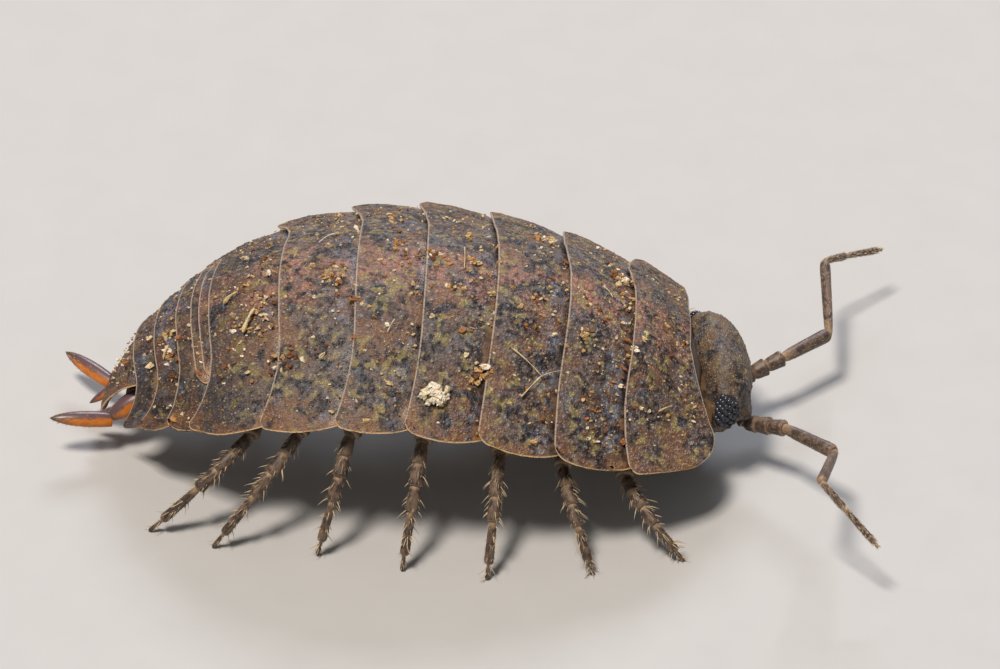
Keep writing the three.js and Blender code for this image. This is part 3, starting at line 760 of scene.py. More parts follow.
# %% Tubes along a path
def path_frames(path, upright):
    """Direction from central differences, then two axes square to it, the second nearest to upright."""
    direction = unit(np.gradient(path, axis=0))
    side_axis = unit(np.cross(direction, upright))
    return direction, side_axis, np.cross(side_axis, direction)


def tube_arrays(path, radii, upright, turns, reach=None):
    """Ring points = path + radius (cos turn · side + sin turn · up), scaled by reach where it's given."""
    _, side_axis, up_axis = path_frames(path, upright)
    radius = radii[:, None] * (np.ones_like(turns)[None, :] if reach is None else reach)
    ring = np.cos(turns)[None, :, None] * side_axis[:, None] + np.sin(turns)[None, :, None] * up_axis[:, None]
    return path[:, None] + radius[..., None] * ring


ARTICLE_SHARES = np.array([0.0, 0.03, 0.08, 0.16, 0.3, 0.45, 0.6, 0.72, 0.82, 0.9, 0.95, 0.985])
ARTICLE_PROFILE = np.array([0.62, 0.7, 0.78, 0.86, 0.92, 0.95, 0.97, 1.0, 1.03, 1.04, 0.97, 0.74])


def jointed_path(joints, radii):
    """Rings of all articles in a row: places on straight lines between joints, a flared profile as radius."""
    places, widths, shares, numbers = [], [], [], []
    for number, (start, end) in enumerate(zip(joints[:-1], joints[1:])):
        places.append(start + (end - start) * ARTICLE_SHARES[:, None])
        widths.append(radii[number] * ARTICLE_PROFILE)
        shares.append(ARTICLE_SHARES)
        numbers.append(np.full(len(ARTICLE_SHARES), number))
    return tuple(np.concatenate(rows) for rows in (places, widths, shares, numbers))


def limb_marks(path, radii, shares, numbers, turns, seed):
    """lay: mm along the limb, mm round it and a number of its own. joint: the share along the article."""
    along = np.concatenate([[0], np.cumsum(np.linalg.norm(np.diff(path, axis=0), axis=-1))])
    round_it = np.outer(radii, turns)
    own = np.full(round_it.shape, 3.1 * seed)
    lay = np.stack([np.broadcast_to(along[:, None], round_it.shape), round_it, own], axis=-1)
    joint = np.stack(np.broadcast_arrays(shares[:, None], numbers[:, None], np.sin(turns)[None, :]), axis=-1)
    return {"lay": lay.reshape(-1, 3), "joint": joint.reshape(-1, 3).astype(float)}


# %% [markdown]
# ## The finish of the limbs
# The cuticle of the limbs is thin and horny, grey-brown with violet in it and marbled with pale spots, and it
# turns almost colourless in the soft bands at the joints.

# %% Limb finish
def limb_finish(name, dark, light, joint_shade, spot=0.5):
    """Marbling of two shades along the limb, with a pale band at both ends of each article."""
    material, put, shader = new_material(name)
    lay = put("vector_mark", attribute_name="lay")
    share, _, _ = put("parts", put("vector_mark", attribute_name="joint"))
    marble = put("noise", lay, 1 / 0.16, 3.0, 0.4)
    fine = put("noise", lay, 1 / 0.03, 2.0)
    base = put("over", put("ramp", marble, 0.4, 0.62), dark, light)
    base = put("over", put("line", fine, 0.6, 0.7, spot), base, joint_shade)
    band = put("larger", put("line", share, 0.16, 0.02), put("line", share, 0.93, 0.985))
    base = put("over", put("times", band, 0.75), base, joint_shade)
    rough = put("line", marble, 0.0, 1.0, 0.6, 0.35)
    fill(shader, {"Base Color": base, "Roughness": rough, "Normal": put("relief", fine, 0.5, 0.000008)})
    return material


feeler_material = limb_finish("horny_cuticle_feelers", "#41342f", "#6e5a4c", "#a08364", 0.35)
# The legs' shades are darkened below their own grey-brown, as painted shade under the body
leg_material = limb_finish("horny_cuticle_legs", "#392c26", "#6c5847", "#9e8466", 0.4)

# %% [markdown]
# ## Bristles
# Short stiff bristles stand on the feelers, the legs and the tips of the tail forks. Each is a thin bent cone
# with four sides. All the bristles of a limb are one mesh, computed as one array of roots, directions and
# lengths. Their bake map keeps each bristle in a tiny patch at its root's place, given by its share along the
# limb and its turn round it.

# %% Bristle arrays
BRISTLE_SHARES = np.array([0.0, 0.45, 0.8, 0.97])
PATCH = 0.003


def bristle_arrays(roots, directions, lengths, width, bend, root_uv):
    """Axis = root + length · share · direction + bend · share²; radius = width (1 - share)^0.7."""
    turns = np.linspace(0, 2 * np.pi, 4, endpoint=False)
    directions = unit(directions)
    first = unit(np.cross(directions, [0.23, 0.31, 0.92]))
    second = np.cross(directions, first)
    share = BRISTLE_SHARES[None, :, None]
    axis = roots[:, None] + lengths[:, None, None] * (share * directions[:, None] + share**2 * bend[:, None])
    radius = width[:, None] * (1 - BRISTLE_SHARES[None, :]) ** 0.7
    ring = np.cos(turns)[None, :, None] * first[:, None] + np.sin(turns)[None, :, None] * second[:, None]
    points = axis[:, :, None] + radius[:, :, None, None] * ring[:, None]
    spot = np.stack(np.meshgrid(BRISTLE_SHARES, turns / 6.3, indexing="ij"), axis=-1)
    spot = spot.reshape(1, -1, 2) * PATCH
    patch = (root_uv[:, None] * (1 - PATCH) + spot).reshape(-1, 2)
    count = len(roots)
    points, faces = repeated(points.reshape(count, -1, 3), tube_faces(len(BRISTLE_SHARES), len(turns)))
    return points, facing_out(points, faces), patch


def limb_bristles(path, radii, upright, count, seed, length, width, lean, where=None):
    """Random rings and turns; each bristle leans from the surface's normal towards the limb's tip."""
    dice = np.random.default_rng(seed)
    direction, side_axis, up_axis = path_frames(path, upright)
    gaps = np.linalg.norm(np.diff(path, axis=0), axis=-1)
    ring = dice.choice(len(gaps), count, p=gaps / gaps.sum())
    if where is not None:
        ring = ring[where(ring / len(gaps))]
        count = len(ring)
    slide = dice.random(count)[:, None]
    turn = dice.uniform(0, 2 * np.pi, count)
    normal = np.cos(turn)[:, None] * side_axis[ring] + np.sin(turn)[:, None] * up_axis[ring]
    middle = path[ring] * (1 - slide) + path[ring + 1] * slide
    radius = radii[ring] * (1 - slide[:, 0]) + radii[ring + 1] * slide[:, 0]
    roots = middle + normal * (radius * 0.93)[:, None]
    directions = normal + lean * direction[ring]
    lengths = length * dice.uniform(0.6, 1.25, count)
    widths = np.full(count, width) * dice.uniform(0.8, 1.2, count)
    uv = np.stack([ring / len(gaps), turn / (2 * np.pi)], axis=-1)
    return roots, directions, lengths, widths, 0.25 * direction[ring], uv


# Clear horn, pale straw, a little glossy
bristle_material = two_tone_finish("clear_horn_bristles", 9000.0, "#a58f72", "#d8c8ac", {"Roughness": 0.4})

# %% [markdown]
# ## The feelers
# Each long feeler has a stalk of three short articles, a fourth and a long fifth with fine ridges, then a whip
# of two slim articles that ends in a tuft. Joints follow the solids, and the first article is rooted inside the
# head, so that no gap shows.

# %% Feelers
FEELER_JOINTS = {                # base, four joints and the tip of the whip
    "right": [(6.68, -0.74, -1.96), (7.45, -1.22, -1.68), (8.44, -2.14, -1.5),
              (8.14, -3.94, -0.78), (8.52, -4.2, -1.1), (9.3, -4.73, -1.76)],
    "left": [(6.53, 0.62, -1.96), (7.4, 1.1, -1.74), (8.34, 1.92, -1.74),
             (8.24, 3.76, -1.3), (8.6, 4.1, -1.44), (9.44, 4.86, -1.82)],
}
FEELER_ROOT = 0.35               # share of the way from the feeler's base to the middle of the head
STALK_RADII = [0.16, 0.17, 0.18, 0.165, 0.14, 0.105]
WHIP_RADII = [0.075, 0.066, 0.03]
LIMB_TURNS = np.linspace(0, 2 * np.pi, 20, endpoint=False)
UPRIGHT = np.array([0.05, 0.1, 1.0])


def feeler_paths(side_name):
    """Joint places of the stalk and of the whip, in mm."""
    base, wrist, elbow, knee, joint, tip = np.array(FEELER_JOINTS[side_name]) + MID_BODY_PLACE
    root = base + FEELER_ROOT * (HEAD_CENTRE - base)
    first, second = base + 0.3 * (wrist - base), base + 0.62 * (wrist - base)
    stalk = np.array([root, base, first, second, wrist, elbow, knee])
    whip = np.array([knee, joint + 0.1 * (tip - joint), joint + 0.9 * (tip - joint), tip])
    return stalk, whip


for side_name in ("right", "left"):
    stalk, whip = feeler_paths(side_name)
    for part_name, joints, radii, node in (
        ("stalk", stalk, STALK_RADII, "peduncle"), ("whip", whip, WHIP_RADII, "flagellum"),
    ):
        path, widths, shares, numbers = jointed_path(joints, radii)
        ridges = 1 + 0.05 * np.cos(7 * LIMB_TURNS)[None, :] * smooth((numbers[:, None] - 3.5) / 1.0)
        points = tube_arrays(path, widths, UPRIGHT, LIMB_TURNS, ridges).reshape(-1, 3)
        marks = limb_marks(path, widths, shares, numbers, LIMB_TURNS, 1)
        faces = facing_out(points, tube_faces(len(path), len(LIMB_TURNS)))
        new_piece(f"feeler_{side_name}_{part_name}", points, faces, feeler_material,
                  [f"antenna_{side_name}_{node}"], marks)
        count, length = (500, 0.045) if part_name == "stalk" else (520, 0.05)
        hairs = limb_bristles(path, widths, UPRIGHT, count, 31, length, 0.006, 1.6)
        points, faces, patch = bristle_arrays(*hairs)
        new_piece(f"feeler_{side_name}_{part_name}_bristles", points, faces, bristle_material,
                  patch=patch)

# %% [markdown]
# ## The tail forks
# On each side a short stub carries a lance-shaped outer branch and a slim inner one. The outer branch is
# vivid orange below and violet-black above, with a grey tip. The sine of the turn round it, stored on the
# mesh, tells above from below.

# %% Tail forks
TAIL_FORKS = {                   # joint and tip of each outer branch
    "right": [(-6.1, -0.8, -2.3), (-7.33, -1.0, -2.14)],
    "left": [(-6.2, 0.62, -2.5), (-7.2, 1.42, -2.37)],
}
FORK_ROOT = np.array([-5.35, 0.42, -1.85])      # inside the belly skin, on the left
FORK_INWARDS = 0.35
FORK_SHORT = np.array([0.3, 0.45, 0.2])         # start of the inner branch: forwards, share inwards, up
LANCE_SHARES = np.linspace(0, 1, 30)


def fork_finish():
    """Horny cuticle: orange, with violet-black mixed in by height and grey towards the tip."""
    material, put, shader = new_material("horny_cuticle_tail_forks")
    lay = put("vector_mark", attribute_name="lay")
    along, _, height = put("parts", put("vector_mark", attribute_name="joint"))
    streaks = put("noise", lay, 1 / 0.12, 3.0)
    base = put("over", streaks, "#9c4a0c", "#e08a2c")
    base = put("over", put("ramp", put("plus", height, streaks), 0.85, 1.35), base, "#5a4346")
    base = put("over", put("line", along, 0.62, 0.95), base, "#50443f")
    fill(shader, {"Base Color": base, "Roughness": 0.34, "Normal": put("relief", streaks, 0.3, 0.00001)})
    return material


def lance(start, end, radius, blunt, keel=0.0, flat=1.0):
    """Straight path; radius = r (blunt + 0.6 share) (1 - share²)^0.75, with a keel on its upper side."""
    path = start + (end - start) * LANCE_SHARES[:, None]
    widths = radius * (blunt + 0.6 * LANCE_SHARES) * np.maximum(1 - LANCE_SHARES**2, 0.004) ** 0.75
    oval = np.hypot(np.cos(LIMB_TURNS), flat * np.sin(LIMB_TURNS))
    reach = (1 + keel * np.maximum(0, np.sin(LIMB_TURNS)) ** 6) * oval
    reach = np.broadcast_to(reach, (len(path), len(LIMB_TURNS)))
    points = tube_arrays(path, widths, UPRIGHT, LIMB_TURNS, reach).reshape(-1, 3)
    marks = limb_marks(path, widths, LANCE_SHARES, 0 * LANCE_SHARES, LIMB_TURNS, 2)
    return path, widths, (points, facing_out(points, tube_faces(len(path), len(LIMB_TURNS))), marks)


fork_material = fork_finish()
for side_name, side in (("right", -1), ("left", 1)):
    joint, tip = np.array(TAIL_FORKS[side_name]) + MID_BODY_PLACE
    root = FORK_ROOT * [1, side, 1] + MID_BODY_PLACE
    inwards = -side * FORK_INWARDS
    short, short_end = joint + FORK_SHORT * [1, inwards, 1], joint + [-0.44, inwards, -0.26]
    for part_name, node, start, end, shape in (
        ("stub", "base", root, joint + 0.1 * (tip - joint), {"radius": 0.22, "blunt": 0.9}),
        ("outer", "outer", joint, tip, {"radius": 0.185, "blunt": 0.85, "keel": 0.12, "flat": 0.85}),
        ("inner", "inner", short, short_end, {"radius": 0.11, "blunt": 0.85}),
    ):
        path, widths, (points, faces, marks) = lance(start, end, **shape)
        new_piece(f"tail_fork_{side_name}_{part_name}", points, faces, fork_material,
                  [f"uropod_{side_name}_{node}"], marks)
        if part_name == "outer":
            hairs = limb_bristles(path, widths, UPRIGHT, 90, 41, 0.05, 0.005, 2.5, lambda share: share > 0.3)
            points, faces, patch = bristle_arrays(*hairs)
            new_piece(f"tail_fork_{side_name}_bristles", points, faces, bristle_material,
                      patch=patch)

# %% [markdown]
# ## The legs
# Seven pairs of walking legs, all alike but for their stance. A leg has a long thigh from the hip to the knee,
# three short articles, a long shin and a claw. The path is the one that the solids follow: from the knee it
# runs to the floor in a shallow bow.

# %% Legs
LEG_STANCES = [
    (11.55, -0.1, 5.5, 3.75), (10.35, 0.0, 3.7, 4.25), (9.0, 0.0, 1.6, 4.5), (7.65, 0.3, -0.1, 4.3),
    (6.4, 0.6, -1.8, 3.9), (5.15, 0.5, -3.9, 3.75), (3.85, 0.35, -5.2, 3.3),
]
BELLY = -0.25
BOW_OUT, BOW_UP = 0.28, 0.12
STRIDE = 0.22
LEG_SHARES = [0.0, 0.15, 0.31, 0.5, 0.86, 1.0]      # joints below the knee, as shares of the way to the floor
LEG_RADII = [0.19, 0.14, 0.145, 0.13, 0.095, 0.045]   # thigh, three short articles, shin, claw
LEG_SPINES = {"count": 80, "length": 0.19, "width": 0.012, "lean": 0.8,
              "where": lambda share: (share > 0.2) & (share < 0.93)}
LEG_HAIRS = {"count": 200, "length": 0.07, "width": 0.006, "lean": 1.0, "where": lambda share: share < 0.95}


def leg_joints(number, sign):
    """Hip and knee hang under the belly of the section; the joints below lie on a line bowed by a sine."""
    hip_s, knee_back, foot_x, foot_y = LEG_STANCES[number]
    wide = half_width(hip_s)
    hip = section_point(hip_s, sign * 0.52 * wide, BELLY - 0.1)
    knee = section_point(hip_s, sign * 0.86 * wide, BELLY - 0.5) - [knee_back, 0, 0]
    stride = STRIDE * (1 if number % 2 == 0 else -1) if sign > 0 else 0.0
    sole = np.array([foot_x + stride, sign * foot_y, -CLEARANCE]) + MID_BODY_PLACE
    share = np.array(LEG_SHARES)[:, None]
    bow = np.sin(np.pi * share)
    below = knee + (sole - knee) * share + bow * np.array([0, sign * BOW_OUT, BOW_UP])
    return np.vstack([hip, below])


for sign, side_name in ((-1, "right"), (1, "left")):
    for number in range(7):
        node = f"leg_{side_name}_{number + 1}"
        joints = leg_joints(number, sign)
        path, widths, shares, numbers = jointed_path(joints, LEG_RADII)
        widths[-3:] *= [0.7, 0.5, 0.3]
        path[-1, 2] = widths[-1] * 0.6
        forwards = np.array([1.0, 0.1, 0.05])
        points = tube_arrays(path, widths, forwards, LIMB_TURNS).reshape(-1, 3)
        points[:, 2] = np.maximum(points[:, 2], 0.0)
        marks = limb_marks(path, widths, shares, numbers, LIMB_TURNS, number)
        faces = facing_out(points, tube_faces(len(path), len(LIMB_TURNS)))
        new_piece(node + "_limb", points, faces, leg_material, [node], marks)
        spines = limb_bristles(path, widths, forwards, seed=50 + number, **LEG_SPINES)
        hairs = limb_bristles(path, widths, forwards, seed=70 + number, **LEG_HAIRS)
        both = [np.concatenate(rows) for rows in zip(spines, hairs)]
        points, faces, patch = bristle_arrays(*both)
        points[:, 2] = np.maximum(points[:, 2], 0.002)
        new_piece(node + "_bristles", points, faces, bristle_material, patch=patch)

# %% [markdown]
# ## The underside
# Under the plates the body is soft. One closed skin stands for the trunk and the gill covers: a vaulted top
# that is never seen, and a belly with a low cross ridge for each pair of legs. Under the tail the gill covers
# overlap like tiles, with a groove along the middle.

# %% Belly
BELLY_HIND, BELLY_FRONT = 0.5, 12.8
BELLY_TOP, BELLY_REACH = -0.36, 0.7
NECK_FROM, NECK_TOP, NECK_REACH = 11.8, -0.1, 0.64
TAIL_SHARE, TAIL_TAPER, TAIL_CLOSE = 0.4, 1.1, 0.4


def belly_arrays():
    """Rings along the body: half of each is the vault lowered by a constant, half the belly with its ridges.

    Under the tail point the rings grow narrower, and the belly rises to the vault, so that the skin ends in
    a wedge.
    """
    s = np.linspace(BELLY_HIND, BELLY_FRONT, 260)[:, None]
    turn = np.linspace(-1, 1, 41)[None, :]
    neck = smooth((s - NECK_FROM) / 0.5)
    reach = BELLY_REACH + (NECK_REACH - BELLY_REACH) * neck
    reach = reach * (TAIL_SHARE + (1 - TAIL_SHARE) * smooth((s - BELLY_HIND) / TAIL_TAPER))
    top = back_point(s, turn * reach, BELLY_TOP + (NECK_TOP - BELLY_TOP) * neck)
    ridges = 0.05 * np.cos(2 * np.pi * (s - 3.85) / 1.28) * (1 - turn**4)
    tile = (s - 0.95) / 0.42 % 1.0
    gill = smooth((3.1 - s) / 0.15)
    drop = gill * (0.12 + 0.1 * tile) * (1 - turn**6) + (1 - gill) * ridges
    drop -= gill * 0.05 * np.exp(-(turn / 0.06) ** 2)
    under = section_point(s, -turn * reach * 0.9 * half_width(s), BELLY - drop - 0.2 * neck)
    wedge = back_point(s, -turn * reach * 0.9, BELLY_TOP - 0.05)
    share = smooth((s - BELLY_HIND) / TAIL_CLOSE)[..., None]
    points = np.concatenate([top, wedge + (under - wedge) * share], axis=1)
    # Painted shade on the neck and the tail end, where the skin shows in the gaps by the head and the tail
    # point
    painted_shade = np.maximum(neck, smooth((1.9 - s) / 0.7))
    across = np.ones(points.shape[1])
    points = points.reshape(-1, 3)
    marks = {"lay": points, "gill": (gill * across).ravel(), "painted_shade": (painted_shade * across).ravel()}
    return points, facing_out(points, tube_faces(len(s), 82)), marks


def belly_finish():
    """Soft cuticle: cream-brown marbling, grey on the gill covers, partly painted shade, and dark painted shade
    on the neck and the tail end.
    """
    material, put, shader = new_material("soft_cuticle_belly")
    marble = put("noise", put("vector_mark", attribute_name="lay"), 1 / 0.35, 3.0)
    base = put("over", marble, "#5e5148", "#9a8772")
    # The gill covers' grey is darker than their own pale colour, as painted shade under the tail
    base = put("over", put("number_mark", attribute_name="gill"), base, "#8d8172")
    # Painted shade: dark on the neck, the tail end and the mouth covers
    base = put("over", put("number_mark", attribute_name="painted_shade"), base, "#3d322b")
    fill(shader, {"Base Color": base, "Roughness": 0.5, "Normal": put("relief", marble, 0.3, 0.00002)})
    return material


belly_material = belly_finish()
points, faces, marks = belly_arrays()
new_piece("belly_skin", points, faces, belly_material, ["trunk", "pleopods"], marks)

# %% [markdown]
# ## The mouthparts
# Under the head a pair of flat covers closes over the jaws. They are one low pad on the head's underside, with
# a groove between the two covers and a step at their front edge.

# %% Mouthparts
MOUTH_ELEVATION, MOUTH_HALF_WIDE, MOUTH_HALF_HIGH = -66, 60, 15
MOUTH_ROOT, MOUTH_HEIGHT = -0.16, 0.32


def mouth_arrays():
    """A disc of rings mapped to directions under the head; height = a sunk dome, less a middle groove."""
    radius = np.sin(np.linspace(0.03, np.pi - 0.03, 40))[:, None]
    upper = np.cos(np.linspace(0.03, np.pi - 0.03, 40))[:, None]
    turn = np.linspace(0, 2 * np.pi, 48, endpoint=False)[None, :]
    u, v = radius * np.cos(turn), radius * np.sin(turn)
    groove = 1 - 0.35 * np.exp(-(u / 0.06) ** 2) - 0.25 * np.exp(-((np.abs(u) - 0.45) / 0.07) ** 2)
    lift = MOUTH_ROOT + MOUTH_HEIGHT * np.maximum(upper, -0.1) * groove * (1 + 0.1 * v)
    points = head_point(MOUTH_HALF_WIDE * u, MOUTH_ELEVATION - MOUTH_HALF_HIGH * v, lift).reshape(-1, 3)
    # The mouth covers get part of the painted shade, as they lie under the head
    marks = {"lay": points.copy(), "gill": np.full(len(points), 0.15), "painted_shade": np.full(len(points), 0.55)}
    return points, facing_out(points, tube_faces(40, 48)), marks


points, faces, marks = mouth_arrays()
new_piece("mouth_covers", points, faces, belly_material, ["mouthparts"], marks)

# %% [markdown]
# ## Clinging grains
# A rough shell holds fine grains of wood and earth. Each is a small uneven lump of a few dozen faces: a sphere
# of rings whose points are pushed in and out at random. They lie scattered over the back, closer together in
# the clusters, and a few splinters and fibres lie across the plates. All are one mesh, with a tint for each
# grain, so they can be left off as one piece.

# %% Grains and splinters
SPECK_COUNT, CRUMB_COUNT = 2200, 280
CLUSTERS = [                     # station, share across, spread in mm, grains, largest size in mm
    (8.29, -0.66, 0.09, 18, 0.09), (7.21, 0.09, 0.08, 14, 0.08), (7.92, 0.08, 0.06, 8, 0.075),
    (7.62, -0.17, 0.07, 8, 0.07), (10.84, 0.36, 0.12, 18, 0.07), (11.4, -0.42, 0.15, 26, 0.06),
    (4.59, -0.64, 0.14, 18, 0.08), (10.13, -0.29, 0.06, 7, 0.08), (9.39, 0.64, 0.2, 18, 0.06),
    (9.87, -0.06, 0.3, 30, 0.05), (4.0, -0.3, 0.3, 60, 0.055), (10.67, -0.79, 0.25, 30, 0.045),
    (5.5, -0.1, 0.12, 12, 0.07), (2.3, -0.3, 0.25, 16, 0.075), (11.1, 0.1, 0.25, 16, 0.05),
    (6.3, 0.5, 0.4, 18, 0.06), (6.0, -0.3, 0.08, 9, 0.075), (3.5, -0.55, 0.3, 22, 0.055),
    (6.55, 0.22, 0.1, 8, 0.06), (4.3, 0.05, 0.25, 16, 0.055),
]
SPLINTERS = [                    # from station and share to station and share, thickness in mm
    (8.76, -0.498, 9.41, -0.618, 0.016), (9.41, -0.618, 9.09, -0.754, 0.018),
    (9.41, -0.618, 9.76, -0.564, 0.012), (7.76, 0.188, 7.77, -0.022, 0.012),
    (3.88, -0.424, 4.12, -0.272, 0.045), (3.53, -0.162, 3.79, -0.094, 0.042),
    (11.9, -0.652, 12.2, -0.582, 0.02), (5.2, 0.25, 5.5, 0.35, 0.014), (6.5, -0.5, 6.62, -0.42, 0.012),
    (10.4, 0.12, 10.62, 0.04, 0.014), (8.1, 0.5, 8.3, 0.62, 0.014), (2.15, -0.42, 2.3, -0.33, 0.022),
]
PALE_LUMP, LUMP_GRAINS = (7.45, -0.828), 60      # station and share across of a crumbly lump, and its grains
GRAIN_TINTS = [                  # place on the scale from 0 to 1, shade
    (0.0, "#5e3a1e"), (0.16, "#8e5424"), (0.4, "#b5864c"), (0.66, "#c9aa74"), (0.88, "#dccba6"),
    (1.0, "#efe8d8"),
]


def grain_arrays(places, sizes, seed, rings=5, sides=6):
    """Size times direction times a random 0.5 to 1.35, stretched by three random factors for each grain."""
    dice = np.random.default_rng(seed)
    tilt = np.linspace(0.35, np.pi - 0.35, rings)[:, None]
    turn = np.linspace(0, 2 * np.pi, sides, endpoint=False)[None, :]
    sphere = [np.sin(tilt) * np.cos(turn), np.sin(tilt) * np.sin(turn), np.cos(tilt) + 0 * turn]
    lumps = np.stack(sphere, axis=-1)[None] * dice.uniform(0.5, 1.35, (len(places), rings, sides, 1))
    lumps = lumps * dice.uniform([0.6, 0.5, 0.5], [1.7, 1.1, 0.9], (len(places), 3))[:, None, None]
    spin = dice.uniform(0, 2 * np.pi, len(places))[:, None, None]
    x, y, z = np.moveaxis(lumps, -1, 0)
    lumps = np.stack([x * np.cos(spin) - y * np.sin(spin), x * np.sin(spin) + y * np.cos(spin), z], axis=-1)
    points = (places[:, None, None] + sizes[:, None, None, None] * lumps).reshape(len(places), -1, 3)
    points, faces = repeated(points, tube_faces(rings, sides))
    tint = np.repeat(dice.random(len(places)), rings * sides)
    return points, facing_out(points, faces), {"tint": tint}


def scattered():
    """Stations, shares and sizes: an even scatter of many tiny grains and a few large, then the clusters."""
    dice = np.random.default_rng(17)
    specks = (dice.uniform(0.6, 12.9, SPECK_COUNT), dice.uniform(-1, 0.95, SPECK_COUNT),
              0.012 + 0.026 * dice.random(SPECK_COUNT) ** 2)
    crumbs = (dice.uniform(1.2, 12.5, CRUMB_COUNT), dice.normal(-0.25, 0.4, CRUMB_COUNT).clip(-1, 0.95),
              0.03 + 0.045 * dice.random(CRUMB_COUNT) ** 2)
    rows = [specks, crumbs]
    for station, share, spread, count, largest in CLUSTERS:
        rows.append((station + dice.normal(0, spread, count), share + dice.normal(0, spread / 3.3, count),
                     largest * dice.uniform(0.3, 1, count)))
    s, t, size = (np.concatenate(columns) for columns in zip(*rows))
    _, edge_t, _, _ = telson_outline(telson_edge, (s - TAIL_TIP) / (telson_edge["front"] - TAIL_TIP), 0.9)
    on_shell = (s < first_front_edge(t) - 0.08) & ((s > 1.45) | (np.abs(t) < edge_t)) & (np.abs(t) < 1.0)
    return s[on_shell], t[on_shell], size[on_shell]


def splinter_arrays(start_s, start_t, end_s, end_t, radius, tint):
    """A bent tube lying on the back; its radius swells and shrinks a little along its length."""
    share = np.linspace(0, 1, 9)
    bow = 0.04 * np.sin(np.pi * share)
    s, t = start_s + (end_s - start_s) * share, start_t + (end_t - start_t) * share
    path = back_point(s, t, PLATE_LIFT + radius + bow)
    radii = radius * (0.8 + 0.3 * np.sin(7 * share + 9 * tint)) * np.array([0.5, 1, 1, 1, 1, 1, 1, 0.9, 0.35])
    turns = np.linspace(0, 2 * np.pi, 7, endpoint=False)
    points = tube_arrays(path, radii, UPRIGHT, turns).reshape(-1, 3)
    return points, facing_out(points, tube_faces(9, 7)), {"tint": np.full(len(points), tint)}


def grain_finish():
    """Dry crumbs: each grain's tint picks brown, rust, ochre, straw or near white, dimmed by a fine noise."""
    material, put, shader = new_material("dry_wood_and_earth_grains")
    shade = put("stops", put("number_mark", attribute_name="tint"))
    elements = shade.node.color_ramp.elements
    for _ in GRAIN_TINTS[2:]:
        elements.new(0.5)
    for element, (at, code) in zip(elements, GRAIN_TINTS):
        element.position, element.color = at, colour(code)
    dim = put("line", put("noise", put("own_place"), 30000.0), 0.4, 0.6, 0.0, 0.35)
    fill(shader, {"Base Color": put("over", dim, shade, "#3a2414"), "Roughness": 0.75})
    return material


s, t, size = scattered()
places = back_point(s, t, PLATE_LIFT * 0.35 + 0.35 * size)
parts = [grain_arrays(places, size, 18)]
dice = np.random.default_rng(19)
lump = unit(dice.normal(size=(LUMP_GRAINS, 3))) * dice.random((LUMP_GRAINS, 1)) ** 0.4
lump_s, lump_t = PALE_LUMP[0] + 0.28 * lump[:, 0], PALE_LUMP[1] + 0.055 * lump[:, 1]
lump_places = back_point(lump_s, lump_t, 0.14 + 0.12 * lump[:, 2])
parts.append(grain_arrays(lump_places, dice.uniform(0.05, 0.09, LUMP_GRAINS), 23))
parts[-1][2]["tint"][:] = 0.84 + 0.14 * parts[-1][2]["tint"]
tints = np.random.default_rng(20).uniform(0.66, 0.95, len(SPLINTERS))
parts += [splinter_arrays(*row, tint) for row, tint in zip(SPLINTERS, tints)]
points, faces, marks = joined(parts)
grain_piece = new_piece("clinging_grains", points, faces, grain_finish(), marks=marks)
grain_piece.data.shade_flat()

# %% [markdown]
# ## Floor, light and camera
# The floor is plain and pale. One large soft lamp stands over the camera's left, a weaker one behind, and an
# even sky fills the shade. The camera looks down at the animal's right flank from 150 mm away, with a long
# lens, as in the photograph.

# %% Stage
CAMERA_DISTANCE = 150.0
CAMERA_AZIMUTH, CAMERA_ELEVATION, CAMERA_ROLL = (math.radians(angle) for angle in (2.192, 38.605, -0.239))
CAMERA_LENS = 269.5
AIM_RIGHT, AIM_UP = 1.684, -0.397

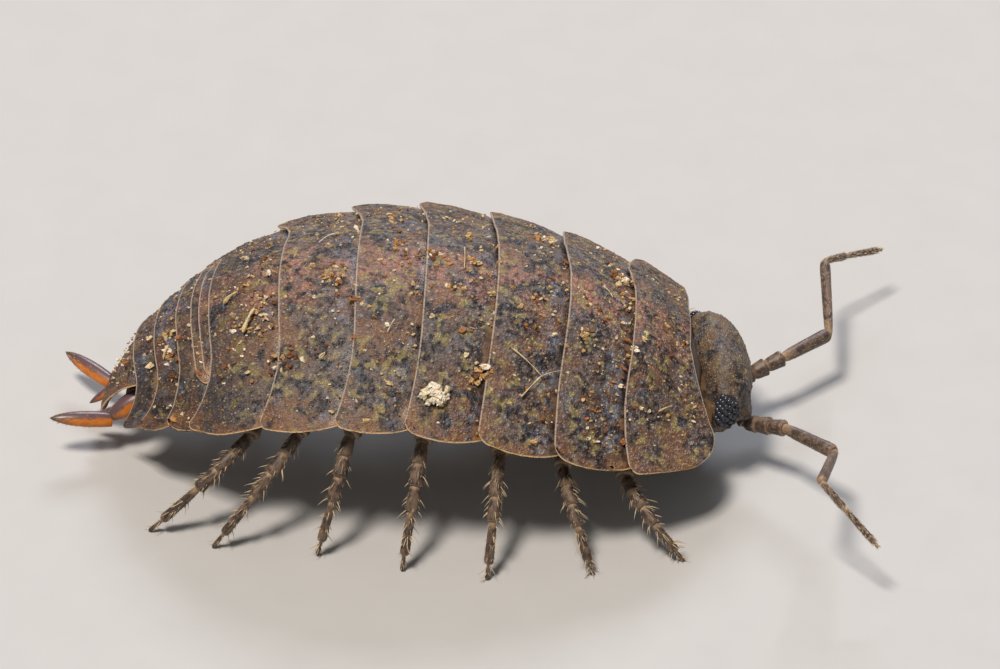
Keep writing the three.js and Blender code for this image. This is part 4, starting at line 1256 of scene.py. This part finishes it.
# Matt card, a plain light grey with a grain that is almost too faint to see
floor_material = two_tone_finish("matt_card_floor", 900.0, "#b2b2b2", "#b8b8b8", {"Roughness": 0.9})
bpy.ops.mesh.primitive_circle_add(vertices=96, radius=4.0, fill_type="NGON", location=(0, 0, 0))
floor = bpy.context.object
floor.name = "floor"
floor.data.materials.append(floor_material)


def soft_lamp(name, place, size, power, shade):
    """A square area lamp in metres, aimed at the middle of the animal."""
    lamp = bpy.data.lights.new(name, "AREA")
    lamp.size, lamp.energy, lamp.color = size, power, colour(shade)[:3]
    holder = bpy.data.objects.new(name, lamp)
    holder.location = place
    holder.rotation_euler = (Vector((0, 0, 0.002)) - Vector(place)).to_track_quat("-Z", "Y").to_euler()
    bpy.context.scene.collection.objects.link(holder)


soft_lamp("key_lamp", (-0.22, -0.25, 0.92), 0.2, 10.5, "#fff4e8")
soft_lamp("back_lamp", (0.1, 0.75, 0.6), 0.3, 5.0, "#eef2ff")
world = bpy.data.worlds.new("studio")
bpy.context.scene.world = world
world.use_nodes = True
world.node_tree.nodes["Background"].inputs["Color"].default_value = colour("#e9e8e6")
world.node_tree.nodes["Background"].inputs["Strength"].default_value = 0.27
bpy.context.scene.view_settings.view_transform = "Standard"

cos_e, sin_e = math.cos(CAMERA_ELEVATION), math.sin(CAMERA_ELEVATION)
back = np.array([math.sin(CAMERA_AZIMUTH) * cos_e, -math.cos(CAMERA_AZIMUTH) * cos_e, sin_e])
right = np.array([math.cos(CAMERA_AZIMUTH), math.sin(CAMERA_AZIMUTH), 0.0])
up = np.cross(back, right)
place = MID_BODY_PLACE + CAMERA_DISTANCE * back
towards_lens = unit(place - (MID_BODY_PLACE + AIM_RIGHT * right + AIM_UP * up))
rolled_up = math.sin(CAMERA_ROLL) * right + math.cos(CAMERA_ROLL) * up
image_right = unit(np.cross(rolled_up, towards_lens))
image_up = np.cross(towards_lens, image_right)
camera = bpy.data.objects.new("camera", bpy.data.cameras.new("camera"))
camera.data.lens = CAMERA_LENS
camera.data.clip_start, camera.data.clip_end = 0.005, 20.0
columns = np.stack([image_right, image_up, towards_lens, place * MM], axis=1)
camera.matrix_world = Matrix(np.vstack([columns, [0, 0, 0, 1]]).tolist())
bpy.context.scene.collection.objects.link(camera)
bpy.context.scene.camera = camera
print("camera in mm:", place.round(2))
